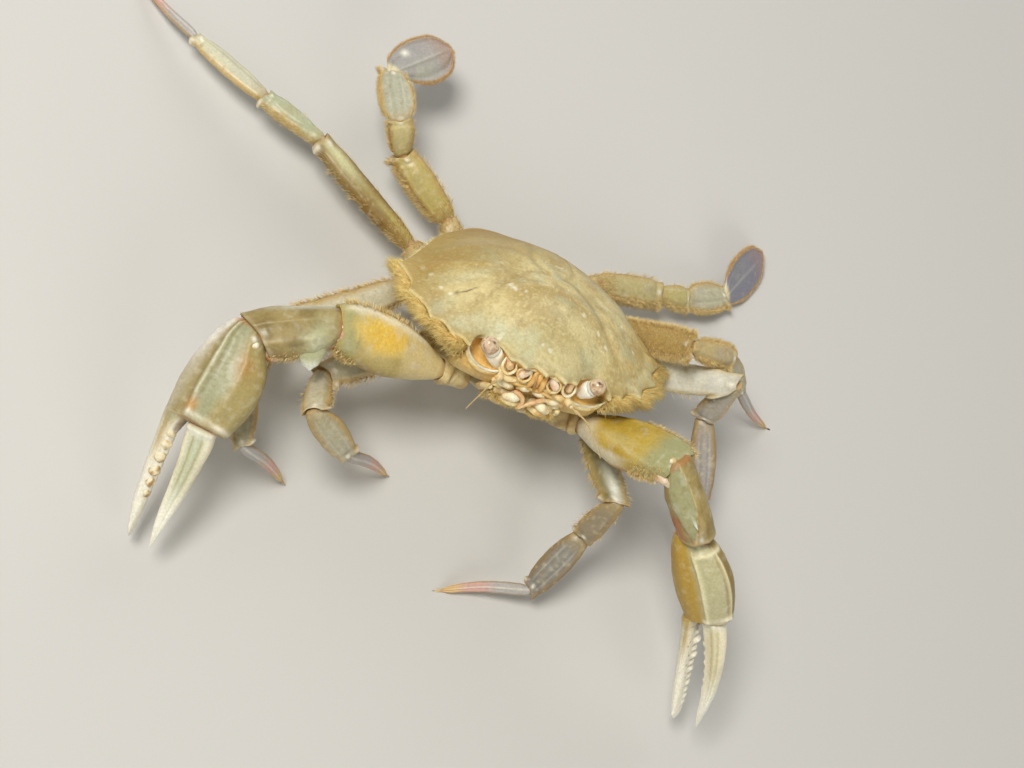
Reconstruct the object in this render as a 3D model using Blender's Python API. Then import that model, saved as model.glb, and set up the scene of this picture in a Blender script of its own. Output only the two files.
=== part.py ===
"""A male vernal crab at life size, as a still museum model that stands on the tips of its walking legs.

Lengths are in millimetres until a mesh is made. The body has its own frame: x to the crab's left, y to its
rear and z up through its back, with the origin midway between the last side teeth of the carapace.
"""

import math

import bmesh
import bpy
from mathutils import Matrix, Vector

# Body placement
MM = 0.001
PITCH = math.radians(34.0)  # the front of the body is raised by this
HEIGHT = 17.5  # body origin over the floor
CENTRE = Vector((-8.85, -3.66, 0.0))  # middle of the whole model, moved to x = y = 0
GAP = 0.3  # between pieces that touch
SOCKET = 0.35  # round each piece that sits in the shell

# Carapace
RIM = [  # left half, from the middle of the front round to the middle of the rear
    (0.0, -17.7, 2.0),
    (1.5, -16.4, 2.0),
    (3.1, -17.5, 1.9),
    (4.1, -16.3, 1.8),
    (5.1, -16.2, 1.6),
    (6.0, -14.3, 1.3),
    (7.7, -12.8, 0.9),
    (9.3, -12.5, 0.6),
    (10.2, -13.4, 0.6),
    (11.0, -15.5, 0.6),
    (11.9, -13.5, 0.3),
    (13.3, -13.3, 0.1),
    (14.6, -11.2, 0.1),
    (16.7, -11.4, 0.2),
    (17.5, -8.6, 0.1),
    (19.9, -6.4, 0.0),
    (19.5, -3.9, 0.0),
    (21.4, -0.6, 0.0),
    (19.6, 1.9, 0.1),
    (17.6, 5.7, 0.2),
    (15.4, 9.9, 0.4),
    (12.2, 13.4, 0.6),
    (9.4, 15.8, 0.7),
    (6.8, 16.7, 0.8),
    (3.4, 17.0, 0.9),
    (0.0, 17.0, 0.9),
]
TOOTH_TIPS = {0, 2, 9, 11, 13, 15, 17}  # of RIM, which the rings further in smooth away
TOP_RINGS = (0.975, 0.92, 0.82, 0.68, 0.5, 0.3, 0.12)
RING_SMOOTHING = 90  # rounds of averaging along the innermost ring, fewer further out
DOME = 7.0  # height of the back over the body origin
MOUNDS = [  # x, y, radius and height of the regions of the back, mirrored
    (0.0, -7.0, 5.5, 0.9),
    (4.5, -8.5, 3.5, 0.4),
    (0.0, 6.5, 4.0, 0.6),
    (11.5, 1.5, 5.5, 0.7),
    (6.5, -0.5, 2.2, -0.5),
]
EDGE_THICKNESS = 1.0
SEAM = (-5.4, 0.17)  # level and slope of the plane where the carapace meets the sternum
WALL_STEPS = (0.0, 0.3, 0.65, 1.0)
WALL_FRONT = 0.60  # how far in the wall has drawn at the seam, as a share of the rim
WALL_SIDE = 0.50
WALL_REAR = 0.72
FACE_BULGE = (15.6, 0.0165)  # how far forward the shell under the eyes stands, and its bend to the sides
FACE_SHARES = (0.0, 1.0, 0.9, 0.66)  # of that, for each of the steps
FACE_HALF = (10.5, 13.5)  # where it fades out, from the middle

# Sternum and abdomen
STERNUM_HALF = 10.2
STERNUM_FRONT = -11.0
STERNUM_REAR = 14.2
STERNUM_DEPTH = 4.6
ABDOMEN_PATH = [  # y, z and width, from the rear of the shell forward under the body
    (16.9, -0.9, 10.5),
    (17.0, -3.4, 10.0),
    (15.0, -6.2, 9.2),
    (10.6, -8.8, 8.2),
    (5.4, -10.1, 6.4),
    (0.6, -10.6, 4.2),
    (-4.6, -10.8, 1.4),
]
ABDOMEN_ROWS = 13
ABDOMEN_THICKNESS = 1.2

# Eyes, feelers and mouth
EYE_ROOT = (6.9, -13.7, -0.9)
EYE_TIP = (8.5, -14.8, 1.6)
EYE_RADIUS = 1.35
STALK_RADIUS = 0.95
FEELER_ROOT = (4.7, -14.2, -1.6)
FEELER_BEND = (5.6, -17.2, -1.5)
FEELER_ARCH = (7.6, -20.8, -0.9)
FEELER_TIP = (10.2, -25.0, -2.6)
FEELER_RADII = (0.85, 0.65, 0.3, 0.2)
MOUTH_ROOT = (2.45, -10.2, -9.2)
MOUTH_TIP = (2.7, -15.6, -4.2)
MOUTH_WIDTH = 4.1
MOUTH_THICKNESS = 1.9

# Limbs, numbered from the claws back
ENDS_OF_BASE = {  # in the body, and where the merus starts
    1: ((7.4, -8.6, -8.6), (11.5, -10.3, -8.1)),
    2: ((9.0, -3.4, -8.3), (13.7, -3.2, -9.2)),
    3: ((9.6, 2.2, -7.5), (16.5, 5.0, -6.3)),
    4: ((9.2, 8.0, -6.4), (17.6, 12.8, -4.6)),
    5: ((7.2, 12.6, -5.0), (13.1, 17.8, -0.9)),
}
LENGTHS = {  # merus, carpus, propodus or palm, dactylus
    1: (17.9, 10.7, 13.9, 18.0),
    2: (17.4, 8.1, 11.4, 14.4),
    3: (20.2, 9.4, 12.7, 14.4),
    4: (20.5, 10.4, 13.9, 15.4),
    5: (12.2, 5.6, 8.5, 12.1),
}
SIZES = {  # width and thickness of base, merus, carpus, propodus and dactylus
    1: ((4.4, 4.0), (8.0, 5.4), (7.2, 5.6), (10.6, 6.2), (4.4, 3.2)),
    2: ((3.9, 3.4), (4.4, 2.7), (3.9, 2.7), (4.3, 2.0), (1.9, 1.3)),
    3: ((4.1, 3.6), (4.7, 2.7), (4.0, 2.7), (4.0, 2.0), (1.9, 1.3)),
    4: ((4.0, 3.5), (4.2, 2.7), (3.7, 2.6), (3.4, 1.9), (1.7, 1.2)),
    5: ((3.5, 3.2), (4.4, 2.8), (3.9, 2.4), (4.9, 1.8), (7.2, 0.9)),
}
POSES = {  # for each segment past the base: turn from sideways to the front, and rise, in degrees
    ("right", 1): ((6, 18), (24, -15), (78, -19), (89, -32)),
    ("right", 2): ((41, 8), (86, 32), (169, -45), (194, -47)),
    ("right", 3): ((36, -9), (71, -2), (99, 23), (180, -49)),
    ("right", 4): ((-30, 2), (-21, -6), (-27, -10), (-37, -15)),
    ("right", 5): ((-34, 8), (-47, 47), (-70, -9), (-132, -5)),
    ("left", 1): ((33, 48), (42, -25), (45, -30), (67, -33)),
    ("left", 2): ((71, 20), (103, -59), (114, -37), (164, -16)),
    ("left", 3): ((8, 42), (68, -75), (65, -25), (70, -37)),
    ("left", 4): ((54, 65), (-19, -28), (-5, -52), (0, -40)),
    ("left", 5): ((-17, -9), (-15, -9), (-29, -9), (-61, -1)),
}
FACE = Vector((-0.31, -0.34, 0.89))  # the way the broad sides of the limbs look
NO_ROLL = (0, 0, 0, 0, 0)
ROLLS = {  # from there, in degrees
    ("right", 4): (40, 40, 40, 40, 40),
    ("left", 1): (0, -40, -90, -130, -130),
    ("left", 5): (0, 0, 0, 0, 38),
}
SHAPES = {  # share of the length, of the width and of the thickness
    "base": [(0.0, 1.0, 1.0), (0.5, 0.9, 0.9), (1.0, 0.86, 0.86)],
    "merus": [(0.0, 0.6, 0.7), (0.2, 0.88, 0.92), (0.5, 1.0, 1.0), (0.8, 0.96, 1.0), (1.0, 0.76, 0.86)],
    "arm": [(0.0, 0.42, 0.66), (0.25, 0.74, 0.86), (0.5, 0.98, 1.0), (0.8, 0.98, 1.0), (1.0, 0.82, 0.88)],
    "carpus": [(0.0, 0.62, 0.8), (0.35, 0.86, 0.95), (0.75, 1.0, 1.0), (1.0, 0.8, 0.9)],
    "propodus": [(0.0, 0.66, 0.9), (0.3, 0.96, 1.0), (0.6, 1.0, 1.0), (0.85, 0.84, 0.9), (1.0, 0.58, 0.8)],
    "dactylus": [(0.0, 0.95, 1.0), (0.2, 1.0, 1.0), (0.5, 0.84, 0.84), (0.8, 0.58, 0.6), (1.0, 0.26, 0.36)],
    "paddle": [
        (0.0, 0.3, 1.5),
        (0.12, 0.66, 1.2),
        (0.35, 0.97, 1.0),
        (0.6, 1.0, 1.0),
        (0.82, 0.78, 0.9),
        (0.96, 0.36, 0.7),
    ],
}
SEGMENTS = ("base", "merus", "carpus", "propodus", "dactylus")
NAMES = {1: "cheliped", 2: "leg2", 3: "leg3", 4: "leg4", 5: "leg5"}
CAP_STEPS = (0.98, 0.8, 0.45)  # rings of a rounded end, as shares of its radius
ROUND = 0.3  # how far a segment's end bulges past its joint, as a share of its width

# Claws: place along the palm, lower and upper edge, and thickness
PALM = [
    (-1.5, -2.4, 0.4, 2.6),
    (-0.4, -3.8, 1.4, 4.0),
    (1.6, -4.8, 2.4, 5.0),
    (4.0, -5.4, 4.0, 5.9),
    (7.0, -5.8, 4.8, 6.3),
    (10.0, -5.8, 4.7, 6.1),
    (12.6, -5.5, 4.1, 5.4),
    (13.9, -5.3, 3.7, 4.8),
    (14.2, -5.25, -2.3, 3.4),
]
FINGER = [
    (16.4, -5.0, -2.2, 2.8),
    (19.8, -4.5, -2.0, 2.4),
    (23.2, -4.0, -1.7, 2.0),
    (26.5, -3.4, -1.5, 1.5),
    (29.3, -2.6, -1.4, 1.1),
    (31.4, -1.8, -1.3, 0.7),
]
FINGER_LEAN = {"right": 0.34, "left": 0.32}  # slope of the fixed finger to the inner side
FINGER_SPREAD = {"right": 0.0, "left": 0.29}  # and away from the moving finger
FINGER_REACH = {"right": 1.0, "left": 0.94}  # its length
MOVING_FINGER = [
    (0.3, -1.7, 2.3, 3.2),
    (2.2, -1.5, 2.5, 3.1),
    (5.0, -1.1, 2.3, 2.8),
    (8.5, -0.9, 1.9, 2.4),
    (12.0, -0.8, 1.4, 1.9),
    (15.2, -0.6, 0.8, 1.3),
    (18.0, -0.2, 0.3, 0.6),
]
CLAW_WIDTH = {"right": 1.0, "left": 0.88}  # the left claw is the slimmer one
FINGER_BOW = {"right": 0.0, "left": 1.3}  # outward bend of the moving finger
FINGER_TEETH = 6
TOOTH_RISE = 0.55
SPINE = [(-0.6, 1.3), (0.8, 1.05), (2.6, 0.55), (4.2, 0.15)]  # of the carpus: length and radius
SPINE_AIM = {"right": (0.45, 0.35, 0.9, 0.2), "left": (0.5, 0.75, 0.55, 0.1)}  # its root, and its direction

SHELL = (0.50, 0.42, 0.26)
PALE = (0.62, 0.60, 0.52)
LILAC = (0.56, 0.57, 0.62)
EYE_COLOUR = (0.45, 0.33, 0.30)
MOUTH_COLOUR = (0.55, 0.36, 0.17)


def place(x, y, z):
    """A point of the body frame, in the world."""
    c, s = math.cos(PITCH), math.sin(PITCH)
    return Vector((x, y * c + z * s, z * c - y * s + HEIGHT)) - CENTRE


def side_sign(side):
    return 1.0 if side == "left" else -1.0


def smooth(keys, t):
    """Catmull-Rom value of rows (t, a, b, ...) at t."""
    i = max(j for j in range(len(keys) - 1) if keys[j][0] <= t or j == 0)
    rows = [keys[max(i - 1, 0)], keys[i], keys[i + 1], keys[min(i + 2, len(keys) - 1)]]
    f = (t - rows[1][0]) / (rows[2][0] - rows[1][0])
    out = []
    for k in range(1, len(keys[0])):
        p0, p1, p2, p3 = (r[k] for r in rows)
        cubic = 3 * (p1 - p2) + p3 - p0
        square = 2 * p0 - 5 * p1 + 4 * p2 - p3
        out.append(p1 + 0.5 * f * (p2 - p0 + f * (square + f * cubic)))
    return out


def heading(side, turn, rise):
    t, r = math.radians(turn), math.radians(rise)
    return Vector((side_sign(side) * math.cos(t) * math.cos(r), -math.sin(t) * math.cos(r), math.sin(r)))


def across(side, along, roll):
    """Width and thickness directions of a segment."""
    through = (FACE - along * FACE.dot(along)).normalized()
    through = Matrix.Rotation(math.radians(roll), 3, along) @ through
    width = through.cross(along) if side == "right" else along.cross(through)
    return width, through


def rounded_box(value, power=2.5):
    """A cosine or sine, made fuller, so that a circle becomes a box with round corners."""
    return math.copysign(abs(value) ** (2 / power), value)


def loft(rows, sides, power=2.2):
    """A closed tube through rows of centre, width and thickness directions, lower, upper and thickness."""
    bm = bmesh.new()
    rings = []
    for centre, width, through, lower, upper, thick in rows:
        ring = []
        for k in range(sides):
            a = 2 * math.pi * (k + 0.5) / sides
            c, s = rounded_box(math.cos(a), power), rounded_box(math.sin(a), power)
            reach = (lower + upper) / 2 + (upper - lower) / 2 * c
            ring.append(bm.verts.new(centre + width * reach + through * (thick / 2 * s)))
        rings.append(ring)
    for a, b in zip(rings, rings[1:]):
        for k in range(sides):
            bm.faces.new((a[k], a[(k + 1) % sides], b[(k + 1) % sides], b[k]))
    for ring, row in ((rings[0], rows[0]), (rings[-1], rows[-1])):
        pole = bm.verts.new(row[0] + row[1] * (row[3] + row[4]) / 2)
        for k in range(sides):
            bm.faces.new((ring[k], ring[(k + 1) % sides], pole))
    bmesh.ops.recalc_face_normals(bm, faces=bm.faces)
    return bm


def trim(bm, point, normal):
    """Cuts off what lies on the normal's side of a plane, and closes the cut."""
    geom = bm.verts[:] + bm.edges[:] + bm.faces[:]
    bmesh.ops.bisect_plane(bm, geom=geom, plane_co=point, plane_no=normal, clear_outer=True, dist=1e-5)
    rim = [e for e in bm.edges if e.is_boundary]
    if rim:
        bmesh.ops.holes_fill(bm, edges=rim, sides=0)
    bmesh.ops.recalc_face_normals(bm, faces=bm.faces)


def material(name, colour):
    mat = bpy.data.materials.new(name)
    mat.use_nodes = True
    shader = mat.node_tree.nodes["Principled BSDF"]
    shader.inputs["Base Color"].default_value = (*colour, 1.0)
    shader.inputs["Roughness"].default_value = 0.45
    shader.inputs["Metallic"].default_value = 0.0
    return mat


def finish(bm, name, colour):
    """Makes a millimetre mesh into a named object in metres."""
    bmesh.ops.triangulate(bm, faces=bm.faces)
    mesh = bpy.data.meshes.new(name)
    bmesh.ops.scale(bm, vec=(MM, MM, MM), verts=bm.verts)
    bm.to_mesh(mesh)
    bm.free()
    mesh.shade_smooth()
    mesh.set_sharp_from_angle(angle=math.radians(40))
    obj = bpy.data.objects.new(name, mesh)
    bpy.context.scene.collection.objects.link(obj)
    mesh.materials.append(material(name, colour))
    return obj


def keep_largest(obj):
    """Leaves only the largest closed surface of a mesh."""
    bm = bmesh.new()
    bm.from_mesh(obj.data)
    groups, seen = [], set()
    for vert in bm.verts:
        if vert in seen:
            continue
        group, todo = [], [vert]
        seen.add(vert)
        while todo:
            v = todo.pop()
            group.append(v)
            for edge in v.link_edges:
                other = edge.other_vert(v)
                if other not in seen:
                    seen.add(other)
                    todo.append(other)
        groups.append(group)
    largest = max(groups, key=len)
    for group in groups:
        if group is not largest:
            bmesh.ops.delete(bm, geom=group, context="VERTS")
    bmesh.ops.triangulate(bm, faces=bm.faces)
    bm.to_mesh(obj.data)
    bm.free()


def boolean(obj, helpers, operation):
    """Applies one Boolean of a collection of helpers, then removes them."""
    group = bpy.data.collections.new("helpers")
    bpy.context.scene.collection.children.link(group)
    for helper in helpers:
        for owner in list(helper.users_collection):
            owner.objects.unlink(helper)
        group.objects.link(helper)
        helper.hide_render = True
        helper.display_type = "WIRE"
    modifier = obj.modifiers.new("join", "BOOLEAN")
    modifier.operation = operation
    modifier.operand_type = "COLLECTION"
    modifier.collection = group
    modifier.solver = "EXACT"
    graph = bpy.context.evaluated_depsgraph_get()
    mesh = bpy.data.meshes.new_from_object(obj.evaluated_get(graph))
    obj.modifiers.clear()
    obj.data = mesh
    for helper in helpers:
        bpy.data.objects.remove(helper)
    bpy.data.collections.remove(group)
    keep_largest(obj)


def swollen(obj):
    """A copy of a piece, thicker all round."""
    copy = obj.copy()
    copy.data = obj.data.copy()
    bpy.context.scene.collection.objects.link(copy)
    bm = bmesh.new()
    bm.from_mesh(copy.data)
    bm.normal_update()
    moves = [(v, v.normal * SOCKET * MM) for v in bm.verts]
    for v, move in moves:
        v.co += move
    bm.to_mesh(copy.data)
    bm.free()
    return copy


def outline():
    """The whole rim, its smoothed form, and how far each point is from the front, all round."""
    soft = []
    for i, (x, y, z) in enumerate(RIM):
        if i in TOOTH_TIPS:
            before = RIM[i - 1] if i else (-RIM[1][0], RIM[1][1], RIM[1][2])
            after = RIM[i + 1]
            x, y = (before[0] + after[0]) / 2, (before[1] + after[1]) / 2
        soft.append((x * 0.985, y * 0.985, z))
    rim, inner = [], []
    for points, out in ((RIM, rim), (soft, inner)):
        out.extend((x, y, z) for x, y, z in points)
        out.extend((-x, y, z) for x, y, z in reversed(points[1:-1]))
    return rim, inner


def back_height(x, y, share, edge):
    """Height of the back, at a share of the way out to the rim."""
    z = edge * share**2 + DOME * (1 - share**2.3)
    for mx, my, radius, rise in MOUNDS:
        for sx in {mx, -mx}:
            z += rise * math.exp(-((x - sx) ** 2 + (y - my) ** 2) / radius**2) * (1 - share**6)
    return z


def refine(points):
    """Adds the midpoint between every two points of a closed ring."""
    out = []
    for i, p in enumerate(points):
        q = points[(i + 1) % len(points)]
        out += [p, tuple((a + b) / 2 for a, b in zip(p, q))]
    return out


def averaged(points, rounds):
    """A closed ring of points, each moved to the mean of its neighbours, again and again."""
    for _ in range(rounds):
        after = points[1:] + points[:1]
        before = points[-1:] + points[:-1]
        points = [tuple((a + b) / 2 for a, b in zip(p, q)) for p, q in zip(before, after)]
    return points


def build_carapace():
    rim, inner = (refine(ring) for ring in outline())
    bm = bmesh.new()
    rings = []
    for share in reversed(TOP_RINGS):
        ring = []
        for x, y, z in averaged(inner, round(RING_SMOOTHING * (1 - share))):
            px, py = x * share, y * share
            ring.append(bm.verts.new(place(px, py, back_height(px, py, share, z))))
        rings.append(ring)
    rings.append([bm.verts.new(place(*p)) for p in rim])
    for step, forward in zip(WALL_STEPS, FACE_SHARES):
        ring = []
        for (x, y, z), (rx, ry, rz) in zip(inner, rim):
            if step == 0:
                ring.append(bm.verts.new(place(rx * 0.97, ry * 0.97, rz - EDGE_THICKNESS)))
                continue
            turn = math.atan2(abs(x), -y)
            share = WALL_SIDE + (WALL_FRONT - WALL_SIDE) * max(0, math.cos(turn))
            share += (WALL_REAR - WALL_SIDE) * max(0, -math.cos(turn))
            scale = 0.96 - (0.96 - share) * step
            px, py = x * scale, y * scale
            face = -(FACE_BULGE[0] - FACE_BULGE[1] * px * px) * forward
            if y < 0 and face < py:
                near, far = FACE_HALF
                py += (face - py) * min(1.0, max(0.0, (far - abs(px)) / (far - near)))
            top = z - EDGE_THICKNESS
            low = SEAM[0] + SEAM[1] * py
            ring.append(bm.verts.new(place(px, py, top + (low - top) * step**0.85)))
        rings.append(ring)
    count = len(rim)
    for a, b in zip(rings, rings[1:]):
        for k in range(count):
            bm.faces.new((a[k], a[(k + 1) % count], b[(k + 1) % count], b[k]))
    top = bm.verts.new(place(0, 0, back_height(0, 0, 0, 0)))
    bottom = bm.verts.new(place(0, 0, SEAM[0]))
    for ring, pole in ((rings[0], top), (rings[-1], bottom)):
        for k in range(count):
            bm.faces.new((ring[k], ring[(k + 1) % count], pole))
    bmesh.ops.recalc_face_normals(bm, faces=bm.faces)
    return finish(bm, "carapace", SHELL)


def build_sternum():
    """A shallow bowl under the seam, widest at the third limbs."""
    bm = bmesh.new()
    count = 28
    rings = []
    for scale, depth in ((1.0, 0.0), (1.0, 0.45), (0.86, 0.85), (0.5, 1.0)):
        ring = []
        for k in range(count):
            a = 2 * math.pi * k / count
            middle = (STERNUM_FRONT + STERNUM_REAR) / 2
            y = middle - rounded_box(math.cos(a)) * (STERNUM_REAR - STERNUM_FRONT) / 2 * scale
            x = rounded_box(math.sin(a)) * STERNUM_HALF * scale
            top = SEAM[0] + SEAM[1] * y - GAP
            ring.append(bm.verts.new(place(x, y, top - STERNUM_DEPTH * depth)))
        rings.append(ring)
    for a, b in zip(rings, rings[1:]):
        for k in range(count):
            bm.faces.new((a[k], a[(k + 1) % count], b[(k + 1) % count], b[k]))
    bm.faces.new(rings[0])
    bm.faces.new(rings[-1])
    bmesh.ops.recalc_face_normals(bm, faces=bm.faces)
    return finish(bm, "sternum", PALE)


def build_abdomen():
    """The narrow male abdomen, bent under the body."""
    keys = [(i, *row) for i, row in enumerate(ABDOMEN_PATH)]
    rows = []
    for k in range(ABDOMEN_ROWS):
        t = (len(keys) - 1) * k / (ABDOMEN_ROWS - 1)
        y, z, width = smooth(keys, t)
        y2, z2, _ = smooth(keys, min(t + 0.05, len(keys) - 1))
        y1, z1, _ = smooth(keys, max(t - 0.05, 0))
        along = (place(0, y2, z2) - place(0, y1, z1)).normalized()
        through = Vector((1, 0, 0)).cross(along)
        rows.append((place(0, y, z), Vector((1, 0, 0)), through, -width / 2, width / 2, ABDOMEN_THICKNESS))
    return finish(loft(rows, 12, 2.6), "abdomen", PALE)


def capsule_rows(points, radii, steps):
    """Rows of a round tube along a bent line, with rounded ends."""
    keys = [(i, *p, r) for i, (p, r) in enumerate(zip(points, radii))]
    body = []
    for k in range(steps):
        t = (len(keys) - 1) * k / (steps - 1)
        x, y, z, r = smooth(keys, t)
        a = Vector(smooth(keys, max(t - 0.02, 0))[:3])
        b = Vector(smooth(keys, min(t + 0.02, len(keys) - 1))[:3])
        along = (b - a).normalized()
        width = along.orthogonal().normalized()
        body.append((Vector((x, y, z)), width, along.cross(width), r, along))
    first, last = body[0], body[-1]
    rings = [(*first[:3], first[3], -reach) for reach in CAP_STEPS]
    rings += [(*row[:4], 0.0) for row in body]
    rings += [(*last[:3], last[3], reach) for reach in reversed(CAP_STEPS)]
    out = []
    for k, (centre, width, through, radius, reach) in enumerate(rings):
        along = first[4] if k < len(CAP_STEPS) else last[4]
        r = radius * math.sqrt(1 - reach * reach)
        out.append((centre + along * radius * reach, width, through, -r, r, 2 * r))
    return out


def mirrored(point, side):
    return place(side_sign(side) * point[0], point[1], point[2])


def build_eye(side):
    root, tip = mirrored(EYE_ROOT, side), mirrored(EYE_TIP, side)
    points = [root, root.lerp(tip, 0.5), tip]
    rows = capsule_rows(points, (STALK_RADIUS, STALK_RADIUS, EYE_RADIUS), 5)
    return finish(loft(rows, 12, 2.0), f"eye_{side}", EYE_COLOUR)


def build_feeler(side):
    points = [mirrored(p, side) for p in (FEELER_ROOT, FEELER_BEND, FEELER_ARCH, FEELER_TIP)]
    return finish(loft(capsule_rows(points, FEELER_RADII, 9), 8, 2.0), f"antenna_{side}", MOUTH_COLOUR)


def build_mouth(side):
    root, tip = mirrored(MOUTH_ROOT, side), mirrored(MOUTH_TIP, side)
    along = (tip - root).normalized()
    width = Vector((1, 0, 0))
    through = width.cross(along).normalized()
    rows = []
    for s, w in ((0.0, 0.55), (0.12, 0.85), (0.5, 1.0), (0.85, 0.95), (1.0, 0.6)):
        half = MOUTH_WIDTH / 2 * w
        rows.append((root.lerp(tip, s), width, through, -half, half, MOUTH_THICKNESS * (0.5 + w / 2)))
    return finish(loft(rows, 12, 3.0), f"maxilliped_{side}", MOUTH_COLOUR)


def joints_of(side, limb):
    """Joint places and headings of a limb, root to tip."""
    points = [mirrored(end, side) for end in ENDS_OF_BASE[limb]]
    for length, (turn, rise) in zip(LENGTHS[limb], POSES[side, limb]):
        points.append(points[-1] + heading(side, turn, rise) * length)
    headings = [(b - a).normalized() for a, b in zip(points, points[1:])]
    return points, headings


def segment_rows(side, limb, index, points, headings):
    """Rows of a plain limb segment, with rounded ends that reach past its joints."""
    kind = SEGMENTS[index]
    shape = SHAPES[{(5, "dactylus"): "paddle", (1, "merus"): "arm"}.get((limb, kind), kind)]
    wide, thick = SIZES[limb][index]
    along = headings[index]
    length = (points[index + 1] - points[index]).length
    roll = ROLLS.get((side, limb), NO_ROLL)[index]
    width, through = across(side, along, roll)
    tip = kind == "dactylus"
    steps = {"base": 4, "merus": 7, "carpus": 5, "propodus": 6, "dactylus": 8}[kind]
    body = []
    for k in range(steps):
        t = shape[-1][0] * k / (steps - 1)
        w, h = smooth(shape, t)
        body.append((t * length, w * wide, h * thick))
    rows = []
    for f in (0.97, 0.7):
        s = math.sqrt(1 - f * f)
        rows.append((-body[0][1] * ROUND * f, body[0][1] * s, body[0][2] * s))
    rows += body
    end = body[-1]
    for f in (0.7, 0.97):
        s = math.sqrt(1 - f * f)
        reach = end[1] * (0.5 if tip else ROUND)
        rows.append((end[0] + reach * f, end[1] * s, end[2] * s))
    start = points[index]
    return [(start + along * s, width, through, -w / 2, w / 2, h) for s, w, h in rows]


def mitre(bm, points, headings, index):
    """Trims both ends of a segment where it meets its neighbours."""
    if index > 0:
        normal = (headings[index - 1] + headings[index]).normalized()
        trim(bm, points[index] + normal * GAP / 2, -normal)
    if index < len(headings) - 1:
        normal = (headings[index] + headings[index + 1]).normalized()
        trim(bm, points[index + 1] - normal * GAP / 2, normal)


def build_segment(side, limb, index):
    points, headings = joints_of(side, limb)
    bm = loft(segment_rows(side, limb, index, points, headings), 12 if limb == 1 else 10)
    mitre(bm, points, headings, index)
    if limb in (2, 3, 4) and SEGMENTS[index] == "dactylus":
        trim(bm, Vector((0, 0, 0)), Vector((0, 0, -1)))
    colour = LILAC if limb > 1 and index > 2 else PALE
    return finish(bm, f"{NAMES[limb]}_{SEGMENTS[index]}_{side}", colour)


def serrate(keys, column, first, last):
    """Adds teeth to one edge of a finger's key rows, as raised rows between first and last."""
    out = []
    steps = FINGER_TEETH * 2
    for k in range(steps + 1):
        t = first + (last - first) * k / steps
        row = [t, *smooth(keys, t)]
        size = (row[2] - row[1]) * 0.5
        if k % 2:
            row[column] += math.copysign(min(TOOTH_RISE, size), 1 if column == 2 else -1)
        out.append(tuple(row))
    return out


def build_palm(side):
    """The palm of a claw with its fixed finger."""
    points, headings = joints_of(side, 1)
    along = headings[3]
    width, through = across(side, along, ROLLS.get((side, 1), NO_ROLL)[3])
    finger = [PALM[-1], *FINGER]
    rows = PALM + serrate(finger, 2, FINGER[0][0], FINGER[-1][0])
    solid = []
    for s, low, high, thick in rows:
        past = max(0.0, s - PALM[-2][0]) * FINGER_REACH[side]
        lean = through * FINGER_LEAN[side] + width * FINGER_SPREAD[side]
        centre = points[3] + along * (min(s, PALM[-2][0]) + past) - lean * past
        solid.append((centre, width, through, low * CLAW_WIDTH[side], high * CLAW_WIDTH[side], thick))
    bm = loft(solid, 14, 2.3)
    normal = (headings[2] + headings[3]).normalized()
    trim(bm, points[3] + normal * GAP / 2, -normal)
    return finish(bm, f"cheliped_propodus_{side}", PALE)


def build_moving_finger(side):
    points, headings = joints_of(side, 1)
    roll = ROLLS.get((side, 1), NO_ROLL)[4]
    along = headings[4]
    width, through = across(side, along, roll)
    rows = [MOVING_FINGER[0]] + serrate(MOVING_FINGER, 1, MOVING_FINGER[1][0], MOVING_FINGER[-1][0])
    solid = []
    for s, low, high, thick in rows:
        bow = width * FINGER_BOW[side] * math.sin(math.pi * s / MOVING_FINGER[-1][0])
        low, high = low * CLAW_WIDTH[side], high * CLAW_WIDTH[side]
        solid.append((points[4] + along * s + bow, width, through, low, high, thick))
    bm = loft(solid, 12)
    palm = headings[3]
    trim(bm, points[3] + palm * (PALM[-1][0] + GAP), -palm)
    return finish(bm, f"cheliped_dactylus_{side}", PALE)


def add_wrist_spine(wrist, side):
    """The long tooth at the inner corner of the claw's carpus."""
    points, headings = joints_of(side, 1)
    along = headings[2]
    width, through = across(side, along, ROLLS.get((side, 1), NO_ROLL)[2])
    share, ahead, upward, outward = SPINE_AIM[side]
    root = points[2] + along * LENGTHS[1][1] * share + width * SIZES[1][2][0] * 0.3
    aim = (along * ahead + width * upward + through * outward).normalized()
    normal = aim.orthogonal().normalized()
    rows = []
    for s, r in SPINE:
        rows.append((root + aim * s, normal, aim.cross(normal), -r, r, 2 * r))
    boolean(wrist, [finish(loft(rows, 8, 2.0), "spine", PALE)], "UNION")


def main():
    for obj in list(bpy.data.objects):
        bpy.data.objects.remove(obj)
    seated = [build_abdomen()]
    for side in ("right", "left"):
        seated += [build_eye(side), build_feeler(side), build_mouth(side)]
        for limb in NAMES:
            seated.append(build_segment(side, limb, 0))
            for index in range(1, len(SEGMENTS)):
                if limb > 1 or index < 3:
                    piece = build_segment(side, limb, index)
                if limb == 1 and index == 2:
                    add_wrist_spine(piece, side)
        build_palm(side)
        build_moving_finger(side)
    for body in (build_carapace(), build_sternum()):
        boolean(body, [swollen(piece) for piece in seated], "DIFFERENCE")


main()
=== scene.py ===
"""Looks of a male vernal crab at life size: fine shells, joint membranes, eyes, mouthparts and bristles.

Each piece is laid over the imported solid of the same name. Lengths are in millimetres until a mesh is made.
The body has its own frame, as in the source of the solids: x to the crab's left, y to its rear, z up through
its back.
"""

import math

import bpy
import numpy as np
from mathutils import Matrix, Vector


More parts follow.
